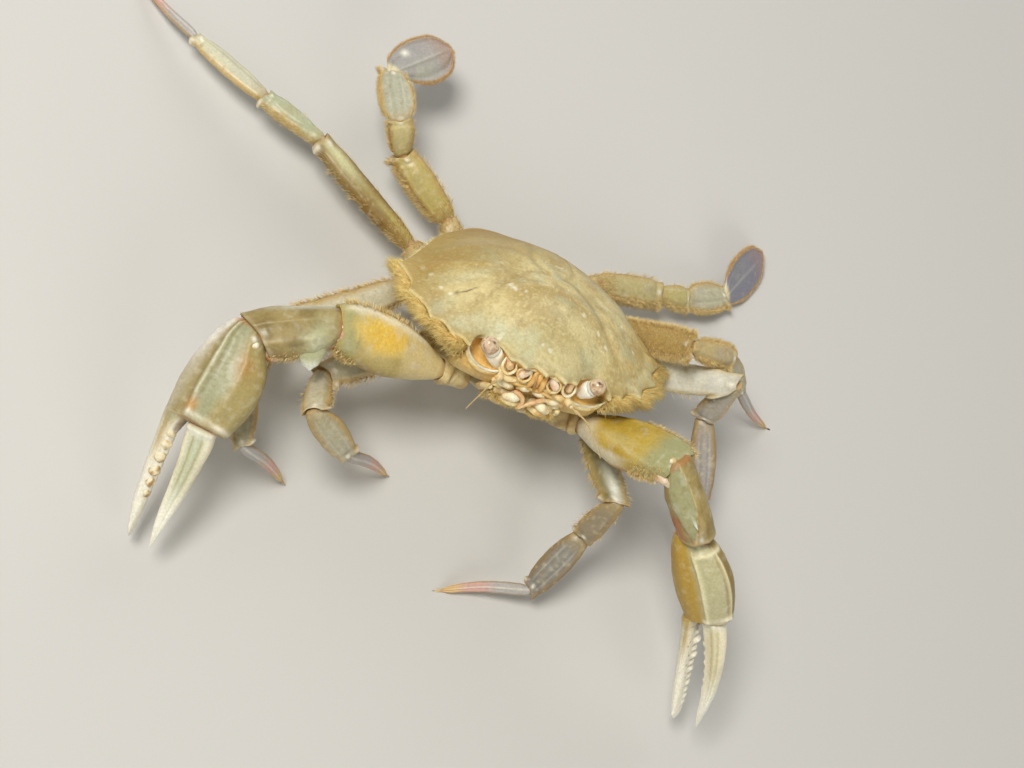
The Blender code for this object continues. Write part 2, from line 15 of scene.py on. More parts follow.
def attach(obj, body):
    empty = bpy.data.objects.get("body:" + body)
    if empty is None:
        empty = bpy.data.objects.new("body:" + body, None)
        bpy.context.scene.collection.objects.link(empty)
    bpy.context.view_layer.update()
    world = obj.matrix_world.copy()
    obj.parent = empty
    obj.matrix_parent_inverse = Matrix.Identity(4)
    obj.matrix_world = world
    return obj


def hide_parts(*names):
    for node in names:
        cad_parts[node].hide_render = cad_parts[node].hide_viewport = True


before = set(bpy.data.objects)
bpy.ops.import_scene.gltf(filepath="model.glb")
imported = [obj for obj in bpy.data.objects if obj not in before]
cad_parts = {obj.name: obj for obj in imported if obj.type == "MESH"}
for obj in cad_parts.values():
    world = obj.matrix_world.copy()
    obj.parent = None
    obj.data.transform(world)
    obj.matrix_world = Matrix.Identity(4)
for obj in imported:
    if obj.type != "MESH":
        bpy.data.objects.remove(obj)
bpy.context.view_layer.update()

# Body placement, as in the source of the solids
MM = 0.001
PITCH = math.radians(34.0)
HEIGHT = 17.5
CENTRE = np.array((-8.85, -3.66, 0.0))
COS, SIN = math.cos(PITCH), math.sin(PITCH)
TURN = np.array(((1, 0, 0), (0, COS, SIN), (0, -SIN, COS)))

RIM = [
    (0.0, -17.7, 2.0),
    (1.5, -16.4, 2.0),
    (3.1, -17.5, 1.9),
    (4.1, -16.3, 1.8),
    (5.1, -16.2, 1.6),
    (6.0, -14.3, 1.3),
    (7.7, -12.8, 0.9),
    (9.3, -12.5, 0.6),
    (10.2, -13.4, 0.6),
    (11.0, -15.5, 0.6),
    (11.9, -13.5, 0.3),
    (13.3, -13.3, 0.1),
    (14.6, -11.2, 0.1),
    (16.7, -11.4, 0.2),
    (17.5, -8.6, 0.1),
    (19.9, -6.4, 0.0),
    (19.5, -3.9, 0.0),
    (21.4, -0.6, 0.0),
    (19.6, 1.9, 0.1),
    (17.6, 5.7, 0.2),
    (15.4, 9.9, 0.4),
    (12.2, 13.4, 0.6),
    (9.4, 15.8, 0.7),
    (6.8, 16.7, 0.8),
    (3.4, 17.0, 0.9),
    (0.0, 17.0, 0.9),
]
TOOTH_TIPS = (0, 2, 9, 11, 13, 15, 17)
DOME = 7.0
MOUNDS = [
    (0.0, -7.0, 5.5, 0.9), (4.5, -8.5, 3.5, 0.4), (0.0, 6.5, 4.0, 0.6), (11.5, 1.5, 5.5, 0.7),
    (6.5, -0.5, 2.2, -0.5),
]
SEAM = (-5.4, 0.17)
FACE_BULGE = (15.6, 0.0165)
FACE_HALF = (10.5, 13.5)

# Limbs, as in the source of the solids
ENDS_OF_BASE = {
    1: ((7.4, -8.6, -8.6), (11.5, -10.3, -8.1)),
    2: ((9.0, -3.4, -8.3), (13.7, -3.2, -9.2)),
    3: ((9.6, 2.2, -7.5), (16.5, 5.0, -6.3)),
    4: ((9.2, 8.0, -6.4), (17.6, 12.8, -4.6)),
    5: ((7.2, 12.6, -5.0), (13.1, 17.8, -0.9)),
}
LENGTHS = {
    1: (17.9, 10.7, 13.9, 18.0),
    2: (17.4, 8.1, 11.4, 14.4),
    3: (20.2, 9.4, 12.7, 14.4),
    4: (20.5, 10.4, 13.9, 15.4),
    5: (12.2, 5.6, 8.5, 12.1),
}
SIZES = {
    1: ((4.4, 4.0), (8.0, 5.4), (7.2, 5.6), (10.6, 6.2), (4.4, 3.2)),
    2: ((3.9, 3.4), (4.4, 2.7), (3.9, 2.7), (4.3, 2.0), (1.9, 1.3)),
    3: ((4.1, 3.6), (4.7, 2.7), (4.0, 2.7), (4.0, 2.0), (1.9, 1.3)),
    4: ((4.0, 3.5), (4.2, 2.7), (3.7, 2.6), (3.4, 1.9), (1.7, 1.2)),
    5: ((3.5, 3.2), (4.4, 2.8), (3.9, 2.4), (4.9, 1.8), (7.2, 0.9)),
}
POSES = {
    ("right", 1): ((6, 18), (24, -15), (78, -19), (89, -32)),
    ("right", 2): ((41, 8), (86, 32), (169, -45), (194, -47)),
    ("right", 3): ((36, -9), (71, -2), (99, 23), (180, -49)),
    ("right", 4): ((-30, 2), (-21, -6), (-27, -10), (-37, -15)),
    ("right", 5): ((-34, 8), (-47, 47), (-70, -9), (-132, -5)),
    ("left", 1): ((33, 48), (42, -25), (45, -30), (67, -33)),
    ("left", 2): ((71, 20), (103, -59), (114, -37), (164, -16)),
    ("left", 3): ((8, 42), (68, -75), (65, -25), (70, -37)),
    ("left", 4): ((54, 65), (-19, -28), (-5, -52), (0, -40)),
    ("left", 5): ((-17, -9), (-15, -9), (-29, -9), (-61, -1)),
}
FACE = np.array((-0.31, -0.34, 0.89))
NO_ROLL = (0, 0, 0, 0, 0)
ROLLS = {
    ("right", 4): (40, 40, 40, 40, 40),
    ("left", 1): (0, -40, -90, -130, -130),
    ("left", 5): (0, 0, 0, 0, 38),
}
SHAPES = {
    "base": [(0.0, 1.0, 1.0), (0.5, 0.92, 0.92), (1.0, 0.9, 0.9)],
    "merus": [(0.0, 0.62, 0.74), (0.2, 0.88, 0.92), (0.5, 1.0, 1.0), (0.8, 0.98, 1.0), (1.0, 0.84, 0.92)],
    "arm": [(0.0, 0.42, 0.66), (0.25, 0.76, 0.86), (0.5, 1.0, 1.0), (0.8, 0.98, 1.0), (1.0, 0.8, 0.86)],
    "carpus": [(0.0, 0.66, 0.82), (0.35, 0.88, 0.95), (0.75, 1.02, 1.0), (1.0, 0.9, 0.92)],
    "wrist": [(0.0, 0.76, 0.88), (0.35, 0.9, 0.95), (0.75, 1.02, 1.0), (1.0, 0.9, 0.92)],
    "propodus": [(0.0, 0.68, 0.9), (0.3, 0.98, 1.0), (0.6, 1.0, 1.0), (0.85, 0.86, 0.9), (1.0, 0.64, 0.8)],
    "dactylus": [(0.0, 0.95, 1.0), (0.2, 1.0, 1.0), (0.5, 0.84, 0.84), (0.8, 0.58, 0.6), (1.0, 0.2, 0.3)],
    "paddle": [
        (0.0, 0.3, 1.5), (0.12, 0.68, 1.2), (0.35, 0.98, 1.0), (0.6, 1.0, 0.95), (0.82, 0.8, 0.8),
        (1.0, 0.22, 0.5),
    ],
}
SHAPE_NAMES = {(5, "dactylus"): "paddle", (1, "merus"): "arm", (1, "carpus"): "wrist"}
SEGMENTS = ("base", "merus", "carpus", "propodus", "dactylus")
NAMES = {1: "cheliped", 2: "leg2", 3: "leg3", 4: "leg4", 5: "leg5"}
PALM = [
    (-1.5, -2.4, 0.4, 2.6),
    (-0.4, -3.8, 1.4, 4.0),
    (1.6, -4.8, 2.4, 5.0),
    (4.0, -5.4, 4.0, 5.9),
    (7.0, -5.8, 4.8, 6.3),
    (10.0, -5.8, 4.7, 6.1),
    (12.6, -5.5, 4.1, 5.4),
    (13.9, -5.3, 3.7, 4.8),
    (14.4, -5.25, -1.9, 3.4),
]
FINGER = [
    (16.4, -5.0, -2.4, 2.8),
    (19.8, -4.5, -2.2, 2.4),
    (23.2, -4.0, -1.9, 2.0),
    (26.5, -3.4, -1.6, 1.5),
    (29.3, -2.6, -1.4, 1.1),
    (31.6, -1.7, -1.3, 0.5),
]
FINGER_LEAN = {"right": 0.34, "left": 0.32}
FINGER_SPREAD = {"right": 0.0, "left": 0.29}
FINGER_REACH = {"right": 1.0, "left": 0.94}
CLAW_WIDTH = {"right": 1.0, "left": 0.88}
FINGER_BOW = {"right": 0.0, "left": 1.3}
MOVING_FINGER = [
    (-0.6, -1.5, 2.1, 2.6),
    (0.3, -1.7, 2.3, 3.2),
    (2.2, -1.5, 2.5, 3.1),
    (5.0, -1.1, 2.3, 2.8),
    (8.5, -0.9, 1.9, 2.4),
    (12.0, -0.8, 1.4, 1.9),
    (15.2, -0.6, 0.8, 1.3),
    (18.2, -0.1, 0.2, 0.4),
]
SPINE = [(-0.8, 1.4), (0.8, 1.05), (2.6, 0.55), (3.9, 0.2), (4.3, 0.05)]
SPINE_LOBE = [(-1.6, 1.2), (0.4, 1.75), (2.0, 1.85), (3.4, 1.5), (4.6, 0.9), (5.3, 0.12)]
# The left wrist has a spine and the right one a blunt lobe: places along them, with their radii
SPINE_KEYS = {"right": SPINE_LOBE, "left": SPINE}
SPINE_DEPTH = {"right": 1.1, "left": 1.8}
# share of the wrist, then across and through it
SPINE_ROOT = {"right": (0.31, 0.3, 0.9), "left": (0.41, 2.1, -0.7)}
SPINE_AIM = {"right": (0.2, 0.95, -0.06), "left": (0.75, 0.55, 0.1)}  # along, across and through

EYE_TIP = (8.5, -14.8, 1.6)
FEELER = [(4.7, -14.2, -1.6), (5.6, -17.2, -1.5), (7.6, -20.8, -0.9), (10.2, -25.0, -2.6)]
MOUTH_ROOT, MOUTH_TIP = (2.45, -10.2, -9.2), (2.7, -15.6, -4.2)
ABDOMEN_PATH = [
    (16.9, -0.9, 10.5),
    (17.0, -3.4, 10.0),
    (15.0, -6.2, 9.2),
    (10.6, -8.8, 8.2),
    (5.4, -10.1, 6.4),
    (0.6, -10.6, 4.2),
    (-4.6, -10.8, 1.4),
]
ABDOMEN_THICKNESS = 1.2
ABDOMEN_JOINTS = (0.7, 1.35, 2.1, 4.1, 4.95)  # places along the path
STERNUM_HALF, STERNUM_FRONT, STERNUM_REAR, STERNUM_DEPTH = 10.2, -11.0, 14.2, 4.6


# Small tools
def srgb(*values):
    """A colour given as 0 to 255 on the screen, as light."""
    v = np.array(values) / 255
    return np.where(v <= 0.04045, v / 12.92, ((v + 0.055) / 1.055) ** 2.4)


def place(p):
    """Points of the body frame, in the world."""
    return np.asarray(p, float) @ TURN.T + (0, 0, HEIGHT) - CENTRE


def unit(v):
    v = np.asarray(v, float)
    return v / np.maximum(np.linalg.norm(v, axis=-1, keepdims=True), 1e-9)


def ramp(low, high, v):
    """0 below low, 1 above high, smooth between."""
    x = np.clip((np.asarray(v, float) - low) / (high - low), 0, 1)
    return x * x * (3 - 2 * x)


def fall(low, high, v):
    """1 below low, 0 above high, smooth between."""
    return 1 - ramp(low, high, v)


def bell(v, middle, width):
    """1 at the middle, and close to 0 at twice the width from it."""
    return np.exp(-(((np.asarray(v, float) - middle) / width) ** 2))


def mix(a, b, share):
    """From a, where the share is 0, to b, where it is 1."""
    share = np.asarray(share, float)[..., None]
    return np.asarray(a) * (1 - share) + np.asarray(b) * share


def layers(colour, *coats):
    """A paint under thin coats, each a tone and its strength, from the lowest up."""
    for tone, strength in coats:
        colour = mix(colour, tone, strength)
    return colour


def smooth(keys, t):
    """Catmull-Rom values of rows (t, a, b, ...) at many t."""
    keys = np.asarray(keys, float)
    t = np.asarray(t, float)
    i = np.clip(np.searchsorted(keys[:, 0], t, side="right") - 1, 0, len(keys) - 2)
    p0, p1 = keys[np.maximum(i - 1, 0), 1:], keys[i, 1:]
    p2, p3 = keys[i + 1, 1:], keys[np.minimum(i + 2, len(keys) - 1), 1:]
    f = ((t - keys[i, 0]) / (keys[i + 1, 0] - keys[i, 0]))[..., None]
    cubic = 3 * (p1 - p2) + p3 - p0
    square = 2 * p0 - 5 * p1 + 4 * p2 - p3
    return p1 + 0.5 * f * (p2 - p0 + f * (square + f * cubic))


def scatter(ix, iy, iz, seed):
    """A number from 0 to 1 for each cell of a lattice."""
    h = (ix * 374761393 + iy * 668265263 + iz * 1274126177 + seed * 974634777) & 0xFFFFFFFF
    h = ((h ^ (h >> 13)) * 1103515245) & 0xFFFFFFFF
    h = ((h ^ (h >> 15)) * 668265263) & 0xFFFFFFFF
    return (h ^ (h >> 16)) / 0xFFFFFFFF


def noise(p, size, seed=0, octaves=1):
    """Smooth noise from -1 to 1, at points in millimetres."""
    p = np.asarray(p, float) / size
    total, weight, amount = 0, 0, 1.0
    for octave in range(octaves):
        cell = np.floor(p).astype(np.int64)
        f = p - cell
        f = f * f * (3 - 2 * f)
        value = 0
        for dx in (0, 1):
            for dy in (0, 1):
                for dz in (0, 1):
                    w = (f[..., 0] if dx else 1 - f[..., 0]) * (f[..., 1] if dy else 1 - f[..., 1])
                    w = w * (f[..., 2] if dz else 1 - f[..., 2])
                    corner = cell + (dx, dy, dz)
                    value += w * scatter(corner[..., 0], corner[..., 1], corner[..., 2], seed + octave)
        total = total + amount * (value * 2 - 1)
        weight += amount
        amount *= 0.5
        p = p * 2.03 + 11.7
    return total / weight


def cells(p, size, seed=0):
    """Distance to the nearest of scattered points, in cell sizes."""
    p = np.asarray(p, float) / size
    cell = np.floor(p).astype(np.int64)
    best = np.full(p.shape[:-1], 9.0)
    for dx in (-1, 0, 1):
        for dy in (-1, 0, 1):
            for dz in (-1, 0, 1):
                c = cell + (dx, dy, dz)
                at = np.stack(
                    [c[..., k] + scatter(c[..., 0], c[..., 1], c[..., 2], seed + 7 * k) for k in range(3)], -1
                )
                best = np.minimum(best, np.linalg.norm(p - at, axis=-1))
    return best


def line_distance(x, y, points):
    """Distance in the plane from many places to a bent line."""
    best = np.full(np.shape(x), 1e9)
    pts = np.asarray(points, float)
    for a, b in zip(pts, pts[1:]):
        d = b - a
        u = np.clip(((x - a[0]) * d[0] + (y - a[1]) * d[1]) / (d @ d), 0, 1)
        best = np.minimum(best, np.hypot(x - a[0] - u * d[0], y - a[1] - u * d[1]))
    return best


# Materials
PER_METRE = 1000  # scale of a texture whose size is given in millimetres


def set_inputs(node, values):
    for name, value in values.items():
        node.inputs[name].default_value = value


def new_node(tree, kind, values=None, **settings):
    node = tree.nodes.new("ShaderNode" + kind)
    for name, value in settings.items():
        setattr(node, name, value)
    set_inputs(node, values or {})
    return node


def painted_material(name, size, detail, source, shade):
    """A material whose painted colour is made darker and lighter by a noise of a given size."""
    mat = bpy.data.materials.new(name)
    mat.use_nodes = True
    tree = mat.node_tree
    link = tree.links.new
    where = new_node(tree, "TexCoord")
    paint = new_node(tree, "Attribute", attribute_name="paint")
    fine = new_node(tree, "TexNoise", {"Scale": PER_METRE / size, "Detail": detail})
    limits = {"From Min": source[0], "From Max": source[1], "To Min": shade[0], "To Max": shade[1]}
    spread = new_node(tree, "MapRange", limits)
    tint = new_node(tree, "VectorMath", operation="SCALE")
    link(where.outputs["Object"], fine.inputs["Vector"])
    link(fine.outputs["Fac"], spread.inputs["Value"])
    link(paint.outputs["Color"], tint.inputs[0])
    link(spread.outputs["Result"], tint.inputs["Scale"])
    link(tint.outputs["Vector"], tree.nodes["Principled BSDF"].inputs["Base Color"])
    return mat, tree, where, fine


def shell_material(name, rough, grain, height, coat=0.25, flesh=0.12, glow=(1.0, 0.75, 0.45), speck=0.1):
    """A horny shell: painted colour with specks, small grains, a wet coat and some light under it."""
    mat, tree, where, fine = painted_material(name, 0.35, 3, (0.3, 0.7), (1 - speck, 1 + speck))
    shader = tree.nodes["Principled BSDF"]
    link = tree.links.new
    grains = new_node(tree, "TexVoronoi", {"Scale": PER_METRE / grain, "Randomness": 0.9})
    rise = new_node(tree, "Math", {0: 1.0}, operation="SUBTRACT")
    bump = new_node(tree, "Bump", {"Strength": 0.8, "Distance": height * MM})
    rub = new_node(tree, "Bump", {"Strength": 0.6, "Distance": height * MM})
    gloss = new_node(tree, "MapRange", {"To Min": rough - 0.08, "To Max": rough + 0.1})
    link(where.outputs["Object"], grains.inputs["Vector"])
    link(grains.outputs["Distance"], rise.inputs[1])
    link(rise.outputs["Value"], bump.inputs["Height"])
    link(fine.outputs["Fac"], rub.inputs["Height"])
    link(bump.outputs["Normal"], rub.inputs["Normal"])
    link(rub.outputs["Normal"], shader.inputs["Normal"])
    link(fine.outputs["Fac"], gloss.inputs["Value"])
    link(gloss.outputs["Result"], shader.inputs["Roughness"])
    wet = {"Coat Weight": coat, "Coat Roughness": 0.22}
    lit = {"Subsurface Weight": flesh, "Subsurface Radius": glow, "Subsurface Scale": 0.0009}
    set_inputs(shader, {**wet, **lit})
    return mat


def bristle_material():
    mat, tree, _, _ = painted_material("bristles", 0.6, 2, (0, 1), (0.75, 1.25))
    set_inputs(tree.nodes["Principled BSDF"], {"Roughness": 0.6, "Specular IOR Level": 0.3})
    return mat


MATERIALS = {
    "carapace": shell_material("carapace", rough=0.5, grain=0.3, height=0.03, coat=0.12, flesh=0.08),
    "claw": shell_material("claw", rough=0.5, grain=0.3, height=0.02, coat=0.14, flesh=0.15),
    "leg": shell_material("leg", rough=0.45, grain=0.3, height=0.018, coat=0.18, flesh=0.18),
    "paddle": shell_material(
        "paddle", rough=0.35, grain=0.25, height=0.01, coat=0.4, flesh=0.3, glow=(0.8, 0.7, 0.9),
    ),
    "underside": shell_material("underside", rough=0.42, grain=0.35, height=0.015, coat=0.25, flesh=0.15),
    "eye": shell_material("eye", rough=0.22, grain=0.12, height=0.008, coat=0.6, flesh=0.3, speck=0.04),
    "mouthparts": shell_material(
        "mouthparts", rough=0.45, grain=0.3, height=0.015, flesh=0.5, glow=(1.0, 0.7, 0.4),
    ),
    "membrane": shell_material(
        "membrane", rough=0.38, grain=0.2, height=0.02, coat=0.35, flesh=0.35, glow=(1.0, 0.4, 0.25),
    ),
    "bristle": bristle_material(),
}


# Meshes
def make(name, verts, faces, paint, material, slot, node=None):
    """A closed mesh in the world from millimetre vertices, facing outward, with its paint."""
    corners = [
        np.stack([verts[f[:, 0]], verts[f[:, k]], verts[f[:, k + 1]]], 1)
        for f in faces for k in range(1, f.shape[1] - 1)
    ]
    volume = sum(np.einsum("ij,ij->", c[:, 0], np.cross(c[:, 1], c[:, 2])) for c in corners)
    if volume < 0:
        faces = [f[:, ::-1] for f in faces]
    mesh = bpy.data.meshes.new(name)
    mesh.vertices.add(len(verts))
    mesh.vertices.foreach_set("co", (verts * MM).ravel())
    loops = np.concatenate([f.ravel() for f in faces])
    sizes = np.concatenate([np.full(len(f), f.shape[1]) for f in faces])
    mesh.loops.add(len(loops))
    mesh.loops.foreach_set("vertex_index", loops)
    mesh.polygons.add(len(sizes))
    mesh.polygons.foreach_set("loop_start", np.concatenate(([0], np.cumsum(sizes)[:-1])))
    mesh.update(calc_edges=True)
    mesh.shade_smooth()
    colours = mesh.color_attributes.new("paint", "FLOAT_COLOR", "POINT")
    colours.data.foreach_set("color", np.concatenate([paint, np.ones((len(paint), 1))], 1).ravel())
    mesh.materials.append(MATERIALS[material])
    obj = bpy.data.objects.new(name, mesh)
    bpy.context.scene.collection.objects.link(obj)
    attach(obj, "root")
    if node:
        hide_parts(node)
    return obj


def closed_grid(points, paint):
    """Vertices, faces and paint of a tube of rings, closed by a pole at each end."""
    rows, cols = points.shape[:2]
    verts = np.concatenate([points.reshape(-1, 3), points[0].mean(0)[None], points[-1].mean(0)[None]])
    colours = np.concatenate([paint.reshape(-1, 3), paint[0].mean(0)[None], paint[-1].mean(0)[None]])
    a = np.arange(rows * cols).reshape(rows, cols)
    b = np.roll(a, -1, 1)
    quads = np.stack([a[:-1], b[:-1], b[1:], a[1:]], -1).reshape(-1, 4)
    first = np.stack([b[0], a[0], np.full(cols, rows * cols)], -1)
    last = np.stack([a[-1], b[-1], np.full(cols, rows * cols + 1)], -1)
    return verts, [quads, np.concatenate([first, last])], colours


def normals_of(points):
    """Outward directions of a grid of rings."""
    around = np.roll(points, -1, 1) - np.roll(points, 1, 1)
    along = np.gradient(points, axis=0)
    n = unit(np.cross(around, along))
    middle = points.mean(1, keepdims=True)
    flip = np.sign(np.sum(n * (points - middle)))
    return n * flip


SURFACES = {}  # grids that bristles grow on: points, outward directions, the way along, and places t, c and f


def rounded_box(values, power):
    """Sines or cosines of a circle, pushed out towards a square by a power over 2."""
    return np.copysign(np.abs(values) ** (2 / power), values)


def tube(centre, width, through, low, high, thick, cols, power=2.3):
    """Rings round a line: points, outward directions, and places c across and f through, from -1 to 1."""
    a = 2 * np.pi * (np.arange(cols) + 0.5) / cols
    c, f = rounded_box(np.cos(a), power), rounded_box(np.sin(a), power)
    width, through = np.broadcast_to(width, centre.shape), np.broadcast_to(through, centre.shape)
    reach = ((low + high) / 2)[:, None] + ((high - low) / 2)[:, None] * c
    points = (
        centre[:, None] + width[:, None] * reach[..., None]
        + through[:, None] * (thick[:, None] / 2 * f)[..., None]
    )
    wide = np.maximum((high - low) / 2, 1e-3)[:, None]
    deep = np.maximum(thick / 2, 1e-3)[:, None]
    out = width[:, None] * (np.cos(a) / wide)[..., None] + through[:, None] * (np.sin(a) / deep)[..., None]
    shape = points.shape[:2]
    return points, unit(out), np.broadcast_to(c, shape), np.broadcast_to(f, shape)


def capsule(points, radii, steps, cols):
    """A round tube along a bent line, with round ends: grid points and place along from 0 to 1."""
    pts = np.asarray(points, float)
    keys = np.concatenate([np.arange(len(pts))[:, None], pts, np.asarray(radii, float)[:, None]], 1)
    t = np.linspace(0, len(pts) - 1, steps)
    body = smooth(keys, t)
    centre, r = body[:, :3], body[:, 3]
    along = unit(np.gradient(centre, axis=0))
    helper = np.array((0.3, 0.2, 0.93))
    width = unit(np.cross(along, helper))
    through = np.cross(along, width)
    reach = np.array((0.995, 0.93, 0.75, 0.45, 0.2))
    ends = []
    for sign, row in ((-1, 0), (1, -1)):
        f = reach if sign < 0 else reach[::-1]
        extra = centre[row] + sign * along[row] * r[row] * f[:, None]
        size = r[row] * np.sqrt(1 - f * f)
        wide, deep = (np.repeat(v[row][None], len(f), 0) for v in (width, through))
        ends.append((extra, wide, deep, size, np.full(len(f), float(sign > 0))))
    body = (centre, width, through, r, t / t[-1])
    centre, width, through, r, share = (np.concatenate(parts) for parts in zip(ends[0], body, ends[1]))
    grid, out, _, _ = tube(centre, width, through, -r, r, 2 * r, cols, 2.0)
    return grid, out, np.broadcast_to(share[:, None], grid.shape[:2])


# Limbs
def side_sign(side):
    """The sign of x on a side of the body."""
    return 1.0 if side == "left" else -1.0


def mirrored(point, side):
    """A place of the left half of the body, for either side, in the world."""
    return place((side_sign(side) * point[0], point[1], point[2]))


def heading(side, turn, rise):
    """A direction from its turn towards the front and its rise, in degrees."""
    t, r = math.radians(turn), math.radians(rise)
    return np.array((side_sign(side) * math.cos(t) * math.cos(r), -math.sin(t) * math.cos(r), math.sin(r)))


def joints_of(side, limb):
    """The places of a limb's joints from root to tip, and the directions of its segments."""
    points = [mirrored(end, side) for end in ENDS_OF_BASE[limb]]
    for length, (turn, rise) in zip(LENGTHS[limb], POSES[side, limb]):
        points.append(points[-1] + heading(side, turn, rise) * length)
    headings = [unit(b - a) for a, b in zip(points, points[1:])]
    return points, headings


def across(side, along, roll):
    """Width and thickness directions of a segment."""
    through = unit(FACE - along * FACE.dot(along))
    through = np.array(Matrix.Rotation(math.radians(roll), 3, along)) @ through
    width = np.cross(through, along) if side == "right" else np.cross(along, through)
    return width, through


def segment(side, limb, index):
    """All joints and headings of a limb, and the directions along, across and through one of its segments."""
    points, headings = joints_of(side, limb)
    roll = ROLLS.get((side, limb), NO_ROLL)[index]
    return points, headings, headings[index], *across(side, headings[index], roll)


def mitre_shift(offsets, along, normal, inner, outer):
    """How far outward each point moves so that an end ring lies in the plane between two segments."""
    return np.clip(-(offsets @ normal) / (along @ normal), -inner, outer)


def lips(grid, out, normal, first, steps):
    """Extra rings that close an end: each is the end ring drawn in to a share and moved along the normal."""
    ring, away = (grid[0], out[0]) if first else (grid[-1], out[-1])
    middle = ring.mean(0)
    rings = [middle + (ring - middle) * scale + normal * move for scale, move in steps]
    aways = [away] * len(rings)
    if first:
        return np.concatenate([np.array(rings[::-1]), grid]), np.concatenate([np.array(aways), out])
    return np.concatenate([grid, np.array(rings)]), np.concatenate([out, np.array(aways)])


START_LIP = ((0.93, -0.12), (0.8, -0.4), (0.4, -0.5))
END_LIP = ((0.97, 0.04), (0.88, -0.05), (0.8, -0.35), (0.4, -0.4))
CLAW_LIP_SCALE = 1.6


def limb_grid(side, limb, index, cols, step, relief, bow=0.0, power=2.3):
    """The fine surface of a limb segment, mitred to its neighbours."""
    kind = SEGMENTS[index]
    keys = np.array(SHAPES[SHAPE_NAMES.get((limb, kind), kind)])
    points, headings, along, width, through = segment(side, limb, index)
    start = points[index]
    length = np.linalg.norm(points[index + 1] - start)
    rows = max(12, round(length / step))
    tip = kind == "dactylus"
    t = np.linspace(0, 1, rows) if not tip else 1 - (1 - np.linspace(0, 1, rows)) ** 1.25
    size = smooth(keys, t) * np.array(SIZES[limb][index])
    if tip:
        size = size * np.sqrt(np.clip(1 - t**14, 0, 1))[:, None] + 0.02
    centre = start + along * (t * length)[:, None] + width * (bow * np.sin(np.pi * t) ** 1.5)[:, None]
    grid, out, c, f = tube(centre, width, through, -size[:, 0] / 2, size[:, 0] / 2, size[:, 1], cols, power)
    tt = np.broadcast_to(t[:, None], c.shape)
    grid = grid + out * relief(tt, c, f, grid)[..., None]
    offsets = grid - centre[:, None]
    scale = CLAW_LIP_SCALE if limb == 1 else 1.0
    shift = np.zeros(c.shape)
    corner = 0.2 + 0.2 * SIZES[limb][index][0]
    if index > 0:
        near = unit(headings[index - 1] + along)
        shift = shift - (mitre_shift(offsets, -along, -near, 0.4 * length, corner) - 0.05) * (1 - tt) ** 2.5
    if not tip:
        far = unit(headings[index + 1] + along)
        lobes = 0.3 * bell(np.abs(c), 1.0, 0.35) - 0.22 * bell(c, 0.0, 0.3) * np.abs(f)
        shift = shift + (mitre_shift(offsets, along, far, 0.4 * length, corner) - 0.05) * tt**2.5
        shift = shift + lobes * (0.35 if index == 0 else 1.0) * ramp(0.8, 1.0, tt)
    grid = grid + along * shift[..., None]
    if index > 0:
        grid, out = lips(grid, out, near, True, [(s, m * scale) for s, m in START_LIP])
        tt, c, f = (np.concatenate([np.repeat(v[:1], len(START_LIP), 0), v]) for v in (tt, c, f))
    if not tip:
        grid, out = lips(grid, out, far, False, [(s, m * scale) for s, m in END_LIP])
        tt, c, f = (np.concatenate([v, np.repeat(v[-1:], len(END_LIP), 0)]) for v in (tt, c, f))
    return {"points": grid, "out": out, "t": tt, "c": c, "f": f, "along": along}


def remember(name, surface):
    """Keeps a grid, with its outward directions, for the bristles."""
    surface["out"] = normals_of(surface["points"])
    SURFACES[name] = surface


def places(surface):
    """Places along, across and through a limb's surface, and its points."""
    return surface["t"], surface["c"], surface["f"], surface["points"]


def blobs(colour, t, c, f, spots):
    """Soft patches on a paint: face (0 for both), place t and c, reach in both, tone and strength."""
    for face, t0, c0, rt, rc, tone, strength in spots:
        side = 1 if face == 0 else ramp(-0.25, 0.25, f * face)
        colour = mix(colour, tone, strength * side * np.exp(-(((t - t0) / rt) ** 2) - ((c - c0) / rc) ** 2))
    return colour


# Colours of the animal
BEIGE = srgb(216, 198, 140)
OLIVE = srgb(182, 158, 94)
GREENISH = srgb(192, 194, 156)
CREAM = srgb(232, 220, 176)
WHITE = srgb(240, 236, 218)
TAN = srgb(186, 152, 86)
GOLD = srgb(206, 172, 104)
BROWN = srgb(120, 84, 44)
LILAC = srgb(172, 166, 162)

